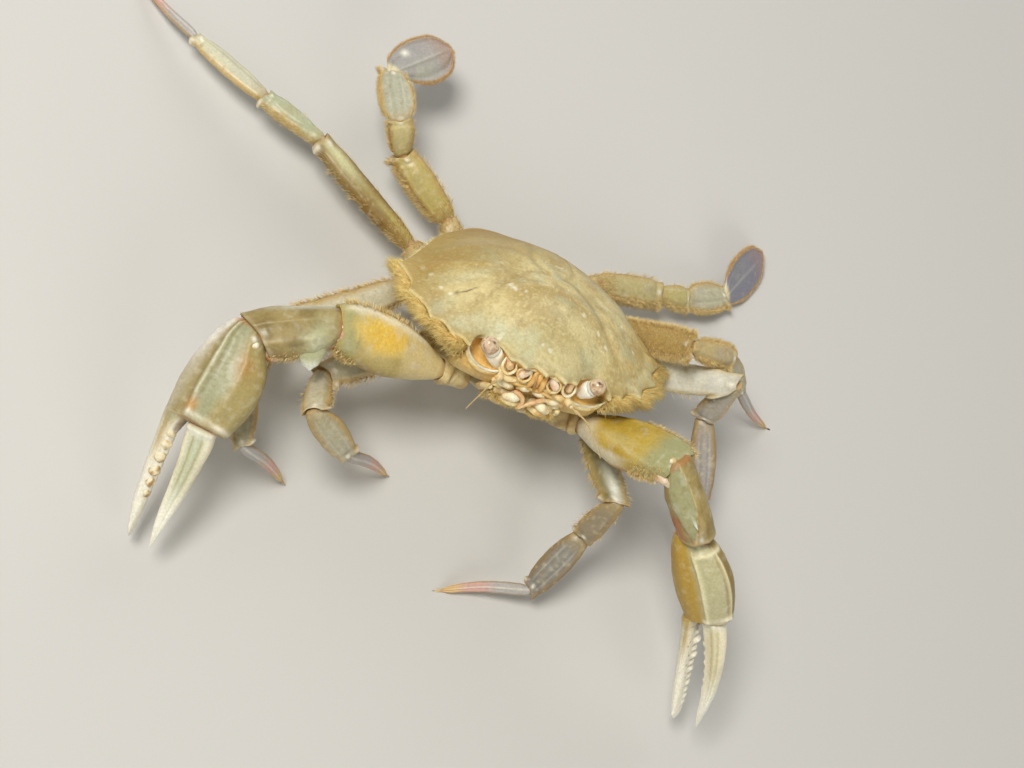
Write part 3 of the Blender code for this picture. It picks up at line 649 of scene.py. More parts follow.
LEG_LOOK = {
    "face": srgb(186, 180, 150), "edge": TAN, "base": OLIVE, "edge_from": 0.42, "spots": [], "mottle": 0.3,
}
LEG_LOOKS = {
    ("left", 3, "merus"): {
        "face": srgb(210, 208, 192), "edge": srgb(206, 186, 132), "edge_from": 0.6, "mottle": 0.08,
    },
    ("left", 3, "carpus"): {
        "face": srgb(176, 170, 158), "edge": srgb(196, 168, 112), "edge_from": 0.5, "mottle": 0.08,
    },
    ("left", 3, "propodus"): {"face": srgb(156, 150, 144), "edge": srgb(160, 128, 72), "mottle": 0.08},
    ("left", 4, "merus"): {"face": srgb(188, 164, 102), "edge": srgb(198, 168, 100), "edge_from": 0.5},
    ("left", 4, "carpus"): {"face": srgb(200, 180, 128), "edge": GOLD},
    ("left", 5, "merus"): {"face": srgb(196, 184, 132), "edge": srgb(186, 152, 84), "edge_from": 0.45},
    ("left", 5, "carpus"): {"face": srgb(192, 180, 122), "edge": TAN, "edge_from": 0.5},
    ("left", 5, "propodus"): {"face": srgb(184, 180, 152), "edge": TAN, "edge_from": 0.55},
    ("right", 5, "merus"): {"face": srgb(188, 172, 102), "edge": TAN, "edge_from": 0.45},
    ("right", 5, "carpus"): {"face": srgb(204, 192, 138), "edge": TAN, "edge_from": 0.5},
    ("right", 5, "propodus"): {"face": srgb(176, 176, 154), "edge": GOLD, "edge_from": 0.6},
    ("right", 4, "merus"): {
        "face": srgb(138, 108, 36),
        "edge": srgb(130, 98, 38),
        "spots": [
            (0, 0.82, 0.1, 0.26, 0.6, srgb(214, 212, 164), 0.9),
            (0, 0.2, 0.0, 0.3, 0.3, srgb(196, 184, 96), 0.6),
        ],
    },
    ("right", 4, "carpus"): {"face": srgb(176, 182, 148), "edge": srgb(190, 160, 96), "edge_from": 0.6},
    ("right", 4, "propodus"): {"face": srgb(208, 206, 176), "edge": GOLD, "edge_from": 0.55},
    ("right", 3, "merus"): {"face": srgb(200, 194, 166), "edge": TAN, "edge_from": 0.4},
    # the left second leg is painted darker: partly its own tone, partly painted shade of the dimmer light on
    # it
    ("left", 2, "merus"): {
        "face": srgb(122, 112, 66),
        "edge": OLIVE,
        "spots": [(0, 0.84, -0.2, 0.26, 0.4, srgb(224, 226, 212), 0.95)],
    },
    ("left", 2, "carpus"): {"face": srgb(146, 134, 108), "edge": srgb(170, 140, 84), "mottle": 0.2},
    ("left", 2, "propodus"): {
        "face": srgb(132, 128, 118), "edge": srgb(144, 116, 64), "edge_from": 0.35, "mottle": 0.08,
    },
}


def leg_relief(limb, kind):
    """Keels along the faces and margins, a neck, a raised rim and knobs at the hinge."""

    def relief(t, c, f, p):
        face = np.abs(f)
        rise = 0.07 * noise(p, 1.3, 31 + limb, 2)
        if kind in ("propodus", "dactylus"):
            rise = rise + 0.13 * bell(c, 0.0, 0.12) * face * ramp(0.04, 0.2, t)
            rise = rise - 0.10 * (bell(c, 0.42, 0.16) + bell(c, -0.42, 0.16)) * face * ramp(0.04, 0.2, t)
        elif kind == "merus":
            rise = rise + 0.10 * bell(c, 0.72, 0.14) * face - 0.06 * bell(c, 0.45, 0.14) * face
        elif kind == "carpus":
            rise = rise + 0.12 * bell(c, 0.35, 0.14) * face + 0.08 * bell(c, -0.45, 0.16) * face
        rise = rise - 0.12 * bell(t, 0.9, 0.04) - 0.2 * fall(0.0, 0.08, t)
        if kind == "carpus":
            oval = fall(0.75, 1.0, np.hypot((t - 0.55) / 0.42, c / 0.75))
            rise = rise + 0.16 * oval * face
        if kind != "dactylus":
            rise = rise + 0.24 * bell(t, 0.95, 0.03) * bell(c, 0.0, 0.2) * face
            rise = rise + 0.45 * bell(t, 0.965, 0.03) * bell(c, 1.0, 0.25)
        return rise

    return relief


def leg_paint(surface, look, kind):
    t, c, f, p = places(surface)
    look = {**LEG_LOOK, **look}
    grain = noise(p, 2.6, 41, 3)
    colour = mix(look["face"], look["edge"], 0.85 * ramp(look["edge_from"], 1.02, np.abs(c) + 0.18 * grain))
    colour = layers(
        colour,
        (look["base"], 0.45 * fall(0.02, 0.3, t)),
        (OLIVE, look["mottle"] * ramp(0.0, 0.7, grain)),
        (LILAC, 0.4 * ramp(0.1, 0.7, noise(p, 3.4, 43, 2)) * np.abs(f) * fall(0.4, 0.8, np.abs(c))),
    )
    if kind == "propodus":
        line = bell(c, 0.0, 0.07) + 0.7 * bell(np.abs(c), 0.45, 0.06)
        colour = mix(colour, srgb(226, 222, 200), 0.35 * line * ramp(0.1, 0.3, t) * fall(0.8, 0.95, t))
    colour = layers(
        colour,
        (srgb(232, 220, 184), 0.2 * ramp(0.2, 0.6, noise(p, 0.5, 44))),
        (srgb(150, 118, 62), 0.3 * ramp(0.3, 0.6, noise(p, 0.8, 45, 2))),
    )
    colour = blobs(colour, t, c, f, look["spots"])
    knob = bell(t, 0.95, 0.035) * bell(c, 0.0, 0.2) * np.abs(f) + bell(t, 0.97, 0.03) * ramp(0.72, 0.95, c)
    colour = layers(
        colour,
        (WHITE, 0.85 * np.minimum(1, knob)),
        (srgb(178, 146, 88), 0.35 * bell(t, 0.99, 0.02)),
    )
    return mix(colour, srgb(166, 124, 68), 0.4 * fall(0.0, 0.05, t))


def walking_dactylus_paint(surface):
    t, c, f, p = places(surface)
    colour = mix(srgb(176, 172, 168), srgb(204, 162, 150), ramp(0.28, 0.55, t))
    colour = layers(
        colour,
        (srgb(212, 178, 120), ramp(0.6, 0.8, t)),
        (srgb(236, 222, 188), 0.8 * ramp(0.9, 0.99, t)),
    )
    keel = bell(c, 0.0, 0.2) * np.abs(f)
    colour = layers(
        colour,
        (WHITE, 0.45 * keel * fall(0.7, 0.9, t)),
        (TAN, 0.6 * ramp(0.7, 1.0, np.abs(c)) * fall(0.5, 0.8, t)),
    )
    return mix(colour, OLIVE, 0.15 * ramp(0, 0.6, noise(p, 1.5, 51, 2)))


def paddle_relief(t, c, f, p):
    rim = ramp(0.8, 0.97, np.abs(c)) * ramp(0.1, 0.3, t)
    vein = bell(c, 0.0, 0.06) * np.abs(f) * fall(0.7, 0.95, t)
    return (
        0.16 * rim + 0.1 * vein - 0.1 * bell(np.abs(c), 0.72, 0.1) * np.abs(f) + 0.02 * noise(p, 0.9, 61, 2)
    )


def paddle_paint(surface, side):
    t, c, f, p = places(surface)
    blue, pinkish = srgb(136, 136, 148), srgb(158, 138, 138)
    if side == "right":
        blue, pinkish = srgb(154, 150, 144), srgb(158, 130, 108)
    soft = noise(p, 2.2, 64, 3)
    green = 0.5 if side == "right" else 0.25
    colour = mix(blue, srgb(176, 176, 150), green * bell(t, 0.35, 0.3) * bell(c, -0.4, 0.5))
    colour = layers(
        colour,
        (blue * 0.86, 0.5 * ramp(0.0, 0.5, soft)),
        (pinkish, ramp(0.5, 0.95, t + 0.15 * soft)),
        (srgb(206, 204, 186), 0.3 * bell(c, 0.0, 0.07) * np.abs(f) * fall(0.6, 0.9, t)),
    )
    edge = np.maximum(ramp(0.86, 0.99, np.abs(c)), ramp(0.92, 0.99, t))
    colour = layers(
        colour,
        (srgb(190, 150, 96), 0.85 * edge * ramp(0.03, 0.12, t)),
        (CREAM, 0.8 * fall(0.03, 0.1, t)),
        (srgb(214, 208, 188), 0.25 * ramp(0.4, 0.7, noise(p, 0.5, 63, 2))),
    )
    if side == "right":
        colour = mix(colour, WHITE, 0.9 * bell(t, 0.33, 0.05) * bell(c, 0.62, 0.16) * ramp(-0.2, 0.2, f))
    return colour


BOWS = {"merus": 0.25, "dactylus": 0.5}  # bend of the walking legs' segments, in millimetres


def build_legs():
    for side in ("right", "left"):
        for limb in (2, 3, 4, 5):
            for index, kind in enumerate(SEGMENTS):
                name = f"{NAMES[limb]}_{kind}_{side}"
                if kind == "base":
                    build_base(side, limb)
                    continue
                if limb == 5 and kind == "dactylus":
                    surface = limb_grid(side, limb, index, 96, 0.16, paddle_relief, power=2.0)
                    paint = paddle_paint(surface, side)
                    make_surface(name, surface, paint, "paddle", "paddle")
                    continue
                bow = 0.0 if limb == 5 else BOWS.get(kind, 0.0)
                surface = limb_grid(side, limb, index, 56, 0.2, leg_relief(limb, kind), bow)
                if kind == "dactylus":
                    paint = walking_dactylus_paint(surface)
                    flatten_tip(surface)
                else:
                    paint = leg_paint(surface, LEG_LOOKS.get((side, limb, kind), {}), kind)
                make_surface(name, surface, paint, "leg", "leg")
            joint_membranes(side, limb)


def flatten_tip(surface):
    """Keeps a walking tip on the floor."""
    surface["points"][..., 2] = np.maximum(surface["points"][..., 2], 0.0)


def make_surface(name, surface, paint, material, slot):
    """The shell of a node, from its grid."""
    remember(name, surface)
    verts, faces, colours = closed_grid(surface["points"], paint)
    return make(f"{name}_shell", verts, faces, colours, material, slot, name)


def build_base(side, limb):
    """The short first pieces of a limb, at the body."""
    name = f"{NAMES[limb]}_base_{side}"

    def relief(t, c, f, p):
        rise = 0.3 * noise(p, 2.2, 71 + limb, 2) + 0.08 * noise(p, 0.6, 73 + limb)
        rise = rise + 0.35 * bell(t, 0.8, 0.1) * bell(c, 0.7, 0.5) - 0.3 * bell(t, 0.6 + 0.12 * c, 0.05)
        return rise + 0.3 * bell(t, 0.35, 0.14) * bell(c, -0.4, 0.5) - 0.25 * ramp(0.9, 1.0, t)

    surface = limb_grid(side, limb, 0, 48, 0.2, relief)
    t, c, _, p = places(surface)
    colour = mix(srgb(204, 184, 130), srgb(176, 144, 84), ramp(-0.3, 0.5, noise(p, 2.0, 72, 3)))
    colour = layers(
        colour,
        (srgb(150, 116, 62), 0.5 * ramp(0.1, 0.5, noise(p, 0.8, 74, 2))),
        (BROWN, 0.45 * bell(t, 0.6 + 0.12 * c, 0.04)),
    )
    make_surface(name, surface, colour, "leg", "underside")


def joint_membranes(side, limb):
    """Soft skin that shows inside each joint."""
    points, headings = joints_of(side, limb)
    parts = []
    for index in range(1, 5):
        small = min(*SIZES[limb][index - 1], *SIZES[limb][index])
        reach = 0.30 * small
        radius = small * 0.34
        bend = [
            points[index] - headings[index - 1] * reach, points[index],
            points[index] + headings[index] * reach,
        ]
        grid, _, share = capsule(bend, [radius, radius * 1.05, radius], 15, 28)
        pleat = 0.04 * np.sin(share * 40)
        middle = grid.mean(1, keepdims=True)
        grid = middle + (grid - middle) * (1 + pleat[..., None])
        tone = MEMBRANES.get((side, limb, index), MEMBRANE)
        colour = mix(tone, srgb(150, 100, 60), 0.4 * ramp(-0.3, 0.6, noise(grid, 0.8, 81)))
        colour = mix(colour, WHITE, 0.25 * ramp(0.3, 0.7, noise(grid, 0.6, 82)))
        parts.append(closed_grid(grid, colour))
    verts, faces, paint = join(parts)
    make(f"{NAMES[limb]}_membranes_{side}", verts, faces, paint, "membrane", "claw" if limb == 1 else "leg")


MEMBRANE = srgb(196, 150, 96)
MEMBRANES = {  # where a joint's skin has its own tone
    ("right", 1, 2): srgb(214, 132, 110),
    ("left", 1, 2): srgb(210, 140, 130),
    ("right", 1, 3): srgb(206, 120, 60),
    ("left", 1, 3): srgb(190, 74, 36),
    ("right", 1, 4): srgb(214, 150, 90),
    ("left", 1, 4): srgb(208, 150, 96),
}


def join(parts):
    """One set of vertices, faces and paint from several."""
    verts, faces, paint, start = [], {3: [], 4: []}, [], 0
    for v, fs, p in parts:
        verts.append(v)
        paint.append(p)
        for f in fs:
            faces[f.shape[1]].append(f + start)
        start += len(v)
    return np.concatenate(verts), [np.concatenate(f) for f in faces.values() if f], np.concatenate(paint)


# Claws
def turned(c, f, side, left_turn=34.0):
    """The left claw is rolled in its pose, so its pattern is turned about its axis, in degrees."""
    a = math.radians(left_turn if side == "left" else 0.0)
    return np.clip(c * math.cos(a) + f * math.sin(a), -1, 1), f * math.cos(a) - c * math.sin(a)


def arm_relief(t, c, f, p):
    rise = 0.08 * noise(p, 1.5, 101, 2) + 0.03 * (0.5 - cells(p, 0.55, 102))
    rise = rise + 0.34 * bell(c, -0.88, 0.14) * ramp(-0.2, 0.3, f) * ramp(0.1, 0.3, t) * fall(0.9, 0.98, t)
    rise = rise - 0.14 * bell(c, -0.4, 0.3) * np.abs(f) * ramp(0.2, 0.4, t)
    rise = rise - 0.28 * fall(0.0, 0.06, t) - 0.25 * ramp(0.94, 1.0, t)
    return rise + 0.125 * bell(t, 0.86, 0.012) * bell(c, 0.3, 0.5)


def carpus_relief(t, c, f, p):
    rise = 0.10 * noise(p, 1.6, 111, 2) + 0.04 * (0.5 - cells(p, 0.5, 112))
    rise = rise + 0.26 * bell(c, -0.35, 0.10) * ramp(0, 0.4, f) * ramp(0.15, 0.4, t)
    rise = rise + 0.22 * bell(c, 0.45, 0.12) * np.abs(f) * ramp(0.1, 0.35, t)
    rise = rise + 0.30 * bell(t, 0.9, 0.04) * bell(c, 0.0, 0.14) * np.abs(f)
    rise = rise + 0.45 * bell(t, 0.32, 0.15) * ramp(0.2, 0.8, c) * ramp(-0.4, 0.2, f)
    return rise - 0.35 * fall(0.0, 0.09, t) + 0.06 * ramp(0.93, 0.97, t)


def left_carpus_relief(t, c, f, p):
    c, f = turned(c, f, "left", -90)
    lobe = fall(0.86, 1.0, lobe_distance(t, c))
    return 0.6 * carpus_relief(t, c, f, p) + 0.5 * lobe * ramp(0.0, 0.3, f)


# the raised lobe of the left wrist: middle and reach along it and across it
WRIST_LOBE = (0.42, 0.52, 0.3, 0.5)


def lobe_distance(t, c):
    t0, rt, c0, rc = WRIST_LOBE
    away = np.maximum(0, t - t0) / rt
    return np.hypot((t - t0) / rt, (c - c0) / (rc * np.sqrt(np.clip(1.15 - away, 0.05, 1))))


CLAW_SHADES = {  # darkens the paint of each part to its tone in the photo
    ("right", "arm"): 0.8, ("left", "arm"): 0.74, ("right", "wrist"): 0.82, ("left", "wrist"): 0.94,
    ("right", "palm"): 0.8, ("left", "palm"): 0.95,
}


def arm_paint(surface, side):
    t, p = surface["t"], surface["points"]
    c, _ = turned(surface["c"], surface["f"], side, -40)
    soft, fine = noise(p, 2.6, 121, 3), noise(p, 0.9, 123, 2)
    tt, cc = t + 0.05 * soft, c + 0.1 * soft
    net = fall(0.05, 0.26, cells(p, 0.7, 122) - 0.12)
    yellows = {
        "right": (srgb(206, 184, 108), srgb(184, 160, 82)),
        "left": (srgb(222, 190, 76), srgb(196, 162, 50)),
    }
    colour = mix(*yellows[side], ramp(-0.3, 0.5, soft))
    if side == "right":
        colour = layers(
            colour,
            (srgb(234, 212, 152), 0.92 * fall(0.36, 0.56, tt + 0.06 * cc)),
            (srgb(206, 186, 116), 0.7 * bell(t, 0.62, 0.2) * ramp(0.0, 0.5, cc)),
            (srgb(188, 182, 122), 0.9 * ramp(0.8, 0.88, tt) * fall(0.97, 1.0, t)),
        )
        near = np.hypot((t - 0.67) / 0.19, (c + 0.3) / 0.6) + 0.35 * soft + 0.15 * fine
        colour = layers(
            colour,
            (srgb(244, 212, 118), 0.85 * fall(0.9, 1.5, near)),
            (mix(srgb(252, 208, 84), srgb(255, 236, 150), 0.7 * net), 0.9 * fall(0.6, 1.1, near)),
            # cream-white upper ridge: partly its pale shell, partly a painted highlight
            (srgb(252, 242, 208), 0.9 * bell(cc, -0.86, 0.12) * ramp(0.12, 0.3, t) * fall(0.9, 1.0, t)),
            (srgb(186, 150, 70), 0.6 * ramp(0.72, 1.0, c) * ramp(0.3, 0.6, t)),
        )
    else:
        colour = layers(
            colour,
            (srgb(246, 236, 206), 0.9 * fall(0.14, 0.34, tt - 0.14 * cc)),
            # pale band along the middle: partly its pale shell, partly a painted highlight
            (srgb(222, 206, 138), 0.6 * bell(cc, -0.3, 0.16) * bell(t, 0.5, 0.25)),
            (srgb(184, 188, 140), 0.85 * ramp(0.66, 0.84, tt)),
            (srgb(246, 236, 200), 0.9 * ramp(0.3, 0.6, cc) * fall(0.5, 0.72, t)),
            # pale diagonal band over the ridge: partly its pale shell, partly a painted highlight
            (srgb(236, 222, 160), 0.6 * bell(cc - 0.8 * t, -0.45, 0.14) * bell(t, 0.55, 0.3)),
            (srgb(204, 146, 64), 0.8 * ramp(0.84, 1.0, cc) * ramp(0.35, 0.55, t)),
        )
        colour = mix(colour, colour * srgb(244, 226, 190), 0.5 * net)
    colour = mix(colour, WHITE, 0.22 * ramp(0.1, 0.6, fine))
    return mix(colour, srgb(214, 150, 84), 0.5 * fall(0.0, 0.05, t)) * CLAW_SHADES[side, "arm"]


def wrist_paint(surface, side):
    t, p = surface["t"], surface["points"]
    c, f = turned(surface["c"], surface["f"], side, -90)
    soft, fine = noise(p, 2.2, 124, 3), noise(p, 0.9, 125, 2)
    colour = mix(srgb(176, 156, 98), srgb(148, 128, 72), ramp(-0.3, 0.5, soft))
    if side == "right":
        colour = layers(
            colour,
            (srgb(204, 206, 164), 0.9 * bell(t, 0.29, 0.18) * ramp(-0.2, 0.4, c + 0.2 * soft)),
            (srgb(184, 178, 128), 0.7 * bell(t, 0.2, 0.14) * bell(c, -0.1, 0.5)),
            (srgb(152, 116, 62), 0.6 * ramp(0.66, 0.95, t) * ramp(0.5, 0.9, c)),
            # pale upper border: partly its pale shell, partly a painted highlight
            (srgb(226, 226, 208), 0.75 * fall(-0.98, -0.7, c) * fall(0.5, 0.9, t)),
        )
    else:
        away = lobe_distance(t, c + 0.04 * soft)
        colour = layers(
            colour,
            (srgb(168, 168, 124), 0.85 * fall(0.9, 1.0, away) * ramp(-0.2, 0.2, f)),
            (srgb(226, 214, 160), 0.8 * bell(away, 1.0, 0.07) * ramp(-0.2, 0.2, f)),
            (srgb(176, 112, 50), 0.6 * bell(away, 1.2, 0.1) * ramp(0.45, 0.7, t) * ramp(-0.2, 0.2, f)),
            (srgb(190, 108, 54), 0.75 * ramp(0.66, 0.9, c) * ramp(0.5, 0.66, t) * fall(0.94, 1.0, t)),
        )
    colour = layers(
        colour,
        (WHITE, 0.2 * ramp(0.1, 0.6, fine)),
        (srgb(140, 112, 60), 0.3 * ramp(0.2, 0.6, noise(p, 0.6, 126, 2))),
        (WHITE, 0.85 * bell(t, 0.93, 0.04) * bell(c, 0.0, 0.14) * np.abs(f)),
        (srgb(206, 188, 140), 0.5 * bell(t, 0.975, 0.02)),
    )
    return mix(colour, srgb(196, 120, 62), 0.5 * fall(0.0, 0.05, t)) * CLAW_SHADES[side, "wrist"]


RIGHT_TEETH = [
    (15.9, 0.7, 0.5), (17.5, 0.8, 0.75), (19.3, 0.95, 0.95), (21.2, 0.95, 0.8), (23.1, 0.95, 0.85),
    (24.9, 0.8, 0.6), (26.5, 0.8, 0.6), (28.0, 0.7, 0.4), (29.3, 0.6, 0.35),
]
LEFT_TEETH = [
    (16.2, 0.6, 0.4), (17.6, 0.6, 0.55), (19.0, 0.7, 0.95), (20.3, 0.55, 0.6), (21.5, 0.6, 0.8),
    (22.7, 0.5, 0.5), (23.8, 0.6, 0.65), (25.0, 0.5, 0.4), (26.1, 0.55, 0.5), (27.3, 0.5, 0.35),
    (28.4, 0.5, 0.35), (29.4, 0.45, 0.25),
]
MOVING_TEETH = [
    (4.2, 0.5, 0.5), (5.6, 0.45, 0.4), (7.0, 0.45, 0.4), (8.4, 0.45, 0.35), (9.8, 0.4, 0.3),
    (11.2, 0.4, 0.25),
]


TEETH = {"right": RIGHT_TEETH, "left": LEFT_TEETH}


def tooth_row(s, teeth):
    """Height along a finger of a row of pointed teeth, given by their places, half lengths and heights."""
    rise = np.zeros(np.shape(s))
    for middle, half, height in teeth:
        rise = np.maximum(rise, height * np.clip(1 - np.abs((s - middle) / half), 0, 1))
    return rise


def ellipsoid(centre, axes, rows=16, cols=20):
    """A closed round form with three half axes, given as rows."""
    a = np.linspace(0.06, np.pi - 0.06, rows)[:, None]
    b = 2 * np.pi * np.arange(cols)[None] / cols
    sphere = np.stack([np.cos(a) + 0 * b, np.sin(a) * np.cos(b), np.sin(a) * np.sin(b)], -1)
    return centre + sphere @ np.asarray(axes)


def palm_keel(s):
    """Where the outer keel of the palm runs, across it."""
    return np.interp(s, (0.0, 3.0, 10.0, 13.0), (-0.46, -0.43, -0.37, -0.28))


def palm_relief(s, c, f, p, side):
    """Keels and sunken panels of both faces of the palm, its knobs, and the teeth of the fixed finger."""
    c, f = turned(c, f, side)
    palm = fall(13.0, 14.3, s)
    outer, inner = ramp(0.0, 0.35, f), ramp(0.0, 0.35, -f)
    rise = 0.07 * noise(p, 1.8, 131, 2) + 0.035 * (0.5 - cells(p, 0.5, 132))
    keel = c - palm_keel(s)
    keels = 0.34 * bell(keel, 0.0, 0.07) - 0.2 * bell(keel, 0.24, 0.15) + 0.2 * bell(c, 0.42, 0.12)
    rise = rise + outer * palm * keels
    rise = rise - outer * palm * 0.16 * bell(keel, -0.2, 0.12)
    frame_line = 0.5 * bell(c, -0.12, 0.07) * ramp(1.6, 3.0, s)
    frame_line = np.maximum(frame_line, 0.30 * bell(s, 2.4, 0.45) * ramp(-0.15, 0.0, c))
    frame_line = np.maximum(frame_line, 0.30 * bell(c, 0.8, 0.06) * ramp(1.6, 3.0, s))
    rise = rise + inner * palm * (frame_line - 0.22 * bell(c, 0.34, 0.34) * ramp(2.6, 3.6, s))
    rise = rise + 0.5 * bell(s, 0.7, 0.5) * bell(c, 0.5, 0.16) * outer
    rise = rise + 0.3 * bell(s, 0.7, 0.5) * bell(c, 0.3, 0.16) * inner
    knobs = bell(c, -0.28, 0.16) + bell(c, 0.72, 0.2)
    rise = rise + (0.12 + 0.4 * knobs) * bell(s, 13.3, 0.45) * ramp(-0.45, -0.2, c) * np.abs(f)
    finger = ramp(14.6, 15.4, s)
    share = 0.2 if side == "right" else 0.9
    rise = rise + share * finger * tooth_row(s, TEETH[side]) * ramp(0.86, 1.0, c)
    ridge = 0.16 * bell(c, -0.35, 0.12) - 0.12 * bell(c, -0.05, 0.12)
    return rise + finger * ridge * np.abs(f) * fall(27, 31, s)


def palm_paint(s, c, f, p, side):
    c, f = turned(c, f, side)
    outer = ramp(-0.25, 0.25, f)
    grain, fine = noise(p, 3.0, 141, 3), noise(p, 0.8, 143, 2)
    edge = c + 0.1 * grain
    out = mix(srgb(186, 168, 106), srgb(178, 178, 136), fall(0.1, 0.42, edge))
    keel = c - palm_keel(s)
    out = layers(
        out,
        (srgb(176, 160, 108), fall(-0.14, 0.0, keel)),
        # white outer rim along the upper edge: partly its pale rim, partly a painted highlight
        (srgb(255, 250, 236), 0.95 * fall(-0.86, -0.6, edge) * (0.3 + 0.7 * fall(2, 10, s))),
        (srgb(236, 230, 192), 0.75 * bell(keel, 0.0, 0.05) * fall(13, 14, s)),
        (
            srgb(146, 126, 72),
            0.6 * (bell(keel, -0.1, 0.045) + 0.7 * bell(keel, 0.11, 0.05)) * fall(13, 14, s),
        ),
        (srgb(188, 142, 62), 0.75 * bell(s, 4.4, 1.7) * bell(edge, 0.42, 0.3)),
        (srgb(228, 172, 96), 0.85 * bell(s, 12.2, 0.9) * bell(c, -0.3, 0.16)),
    )
    rows = ramp(0.2, 0.9, np.sin((s + 0.6 * c) * 2 * np.pi / 0.85 + 1.5 * grain))
    out = mix(out, srgb(150, 140, 98), 0.4 * rows * bell(keel, 0.26, 0.16) * ramp(2, 4, s) * fall(8, 10, s))
    inn = mix(srgb(194, 158, 58), srgb(194, 188, 144), ramp(-0.5, -0.08, edge))
    inn = mix(inn, srgb(148, 126, 72), ramp(0.64, 0.78, edge))
    ridges = np.maximum(bell(c, -0.12, 0.06) + bell(c, 0.8, 0.05), bell(s, 2.4, 0.4) * ramp(-0.15, 0.0, c))
    inn = layers(
        inn,
        (srgb(240, 232, 188), 0.9 * ridges * ramp(1.4, 2.4, s)),
        (srgb(168, 134, 52), 0.6 * fall(-0.98, -0.7, edge)),
    )
    colour = mix(inn, out, outer)
    colour = colour * CLAW_SHADES[side, "palm"]
    finger = ramp(13.6, 16.8, s)
    shaft = mix(srgb(228, 218, 186), srgb(190, 168, 118), bell(c, -0.3, 0.25) * fall(18, 23, s))
    colour = layers(
        colour,
        (shaft, finger),
        (WHITE, finger * np.maximum(ramp(0.2, 0.5, c), ramp(17, 24, s))),
        (srgb(176, 184, 170), 0.4 * finger * bell(c, -0.85, 0.2) * fall(24, 29, s)),
    )
    # brown between the teeth: partly stains, partly painted shade between them
    gaps = fall(0.0, 0.25, tooth_row(s, TEETH[side]))
    colour = mix(colour, srgb(150, 104, 56), 0.5 * finger * gaps * ramp(0.8, 0.97, c) * fall(24, 27, s))
    # painted shade: dark brown in the root of the gape between the fingers
    gape_shade = bell(s, 15.4, 1.3) * ramp(0.45, 0.8, c)
    colour = mix(colour, srgb(104, 66, 34), 0.7 * gape_shade)
    specks = ramp(0.55, 0.7, noise(p, 0.45, 142)) * bell(c, 0.55, 0.3) * finger
    colour = mix(colour, BROWN, 0.7 * specks * fall(24, 28, s))
    band = bell(s, 13.3, 0.45) * ramp(-0.5, -0.25, c)
    knobs = np.minimum(1, bell(c, -0.28, 0.18) + bell(c, 0.72, 0.24))
    colour = layers(
        colour,
        (srgb(244, 236, 210), (0.35 + 0.55 * knobs) * band),
        (WHITE, 0.85 * bell(s, 0.7, 0.45) * bell(c, 0.5, 0.18) * outer),
        (srgb(168, 108, 52), 0.6 * bell(s, 14.1, 0.22) * ramp(-0.4, -0.2, c)),
        (srgb(208, 132, 62), 0.5 * fall(-0.9, 0.0, s)),
        (srgb(150, 128, 76), 0.22 * ramp(0.2, 0.6, noise(p, 1.3, 146, 2)) * (1 - finger)),
    )
    return mix(colour, WHITE, 0.16 * ramp(0.1, 0.6, fine))


BEADS = [
    (16.9, 0.55, 0.5), (18.4, 0.8, 0.72), (20.2, 0.9, 0.78), (22.1, 0.88, 0.7), (23.9, 0.78, 0.56),
    (25.4, 0.6, 0.4),
]


def build_palm(side):
    points, headings, along, width, through = segment(side, 1, 3)
    start = points[3]
    step_low, step_high = PALM[-2][0], PALM[-1][0]
    s = np.concatenate(
        [np.arange(-1.3, 13.0, 0.16), np.arange(13.0, 15.0, 0.07), np.arange(15.0, 31.6, 0.13), [31.6]]
    )
    first = smooth(PALM[:-1], np.minimum(s, step_low))
    second = smooth([PALM[-1], *FINGER], np.maximum(s, step_high))
    size = first * fall(step_low, step_high, s)[:, None] + second * ramp(step_low, step_high, s)[:, None]
    low, high, thick = size.T
    low, high = low * CLAW_WIDTH[side], high * CLAW_WIDTH[side]
    least = np.interp(s, (12.6, 13.9, 14.6, 16.4, 18.0), (5.4, 4.6, 4.0, 3.0, 2.6))
    thick = np.where(s > 12.6, np.maximum(thick, least), thick)
    close = np.sqrt(np.clip((31.75 - s) / 1.2, 0.02, 1))
    middle = (low + high) / 2
    low, high, thick = middle + (low - middle) * close, middle + (high - middle) * close, thick * close
    past = np.maximum(0, s - step_low) * FINGER_REACH[side]
    lean = through * FINGER_LEAN[side] + width * FINGER_SPREAD[side]
    centre = start + along * (np.minimum(s, step_low) + past)[:, None] - lean * past[:, None]
    grid, out, c, f = tube(centre, width, through, low, high, thick, 112, 2.4)
    ss = np.broadcast_to(s[:, None], c.shape)
    fade = ramp(-1.2, -0.3, ss) * fall(31.0, 31.6, ss)
    grid = grid + out * (palm_relief(ss, c, f, grid, side) * fade)[..., None]
    near = unit(headings[2] + along)
    depth = (grid - start) @ near
    grid = grid + near * np.maximum(0, -0.25 - depth)[..., None] * 0.85
    surface = {"points": grid, "out": out, "t": ss / s[-1], "c": c, "f": f, "along": along}
    name = f"cheliped_propodus_{side}"
    make_surface(name, surface, palm_paint(ss, c, f, grid, side), "claw", "claw")
    if side == "right":
        parts = []
        for middle, half, height in BEADS:
            row = np.argmin(np.abs(s - middle))
            spot = centre[row] + width * (high[row] - 0.7 * height) + through * 0.26 * thick[row]
            up = (width + 0.3 * through) * height
            deep = (through - 0.3 * width) * (0.28 * thick[row] + 0.1)
            bead = ellipsoid(spot, (along * half, up, deep))
            bead = bead + 0.16 * noise(bead, 0.7, 144, 2)[..., None] * unit(bead - spot)
            tone = mix(srgb(240, 228, 194), srgb(176, 138, 84), ramp(-0.2, 0.5, noise(bead, 0.6, 145, 2)))
            parts.append((bead, tone))
        make_grid("claw_beads", parts, "claw", "claw")


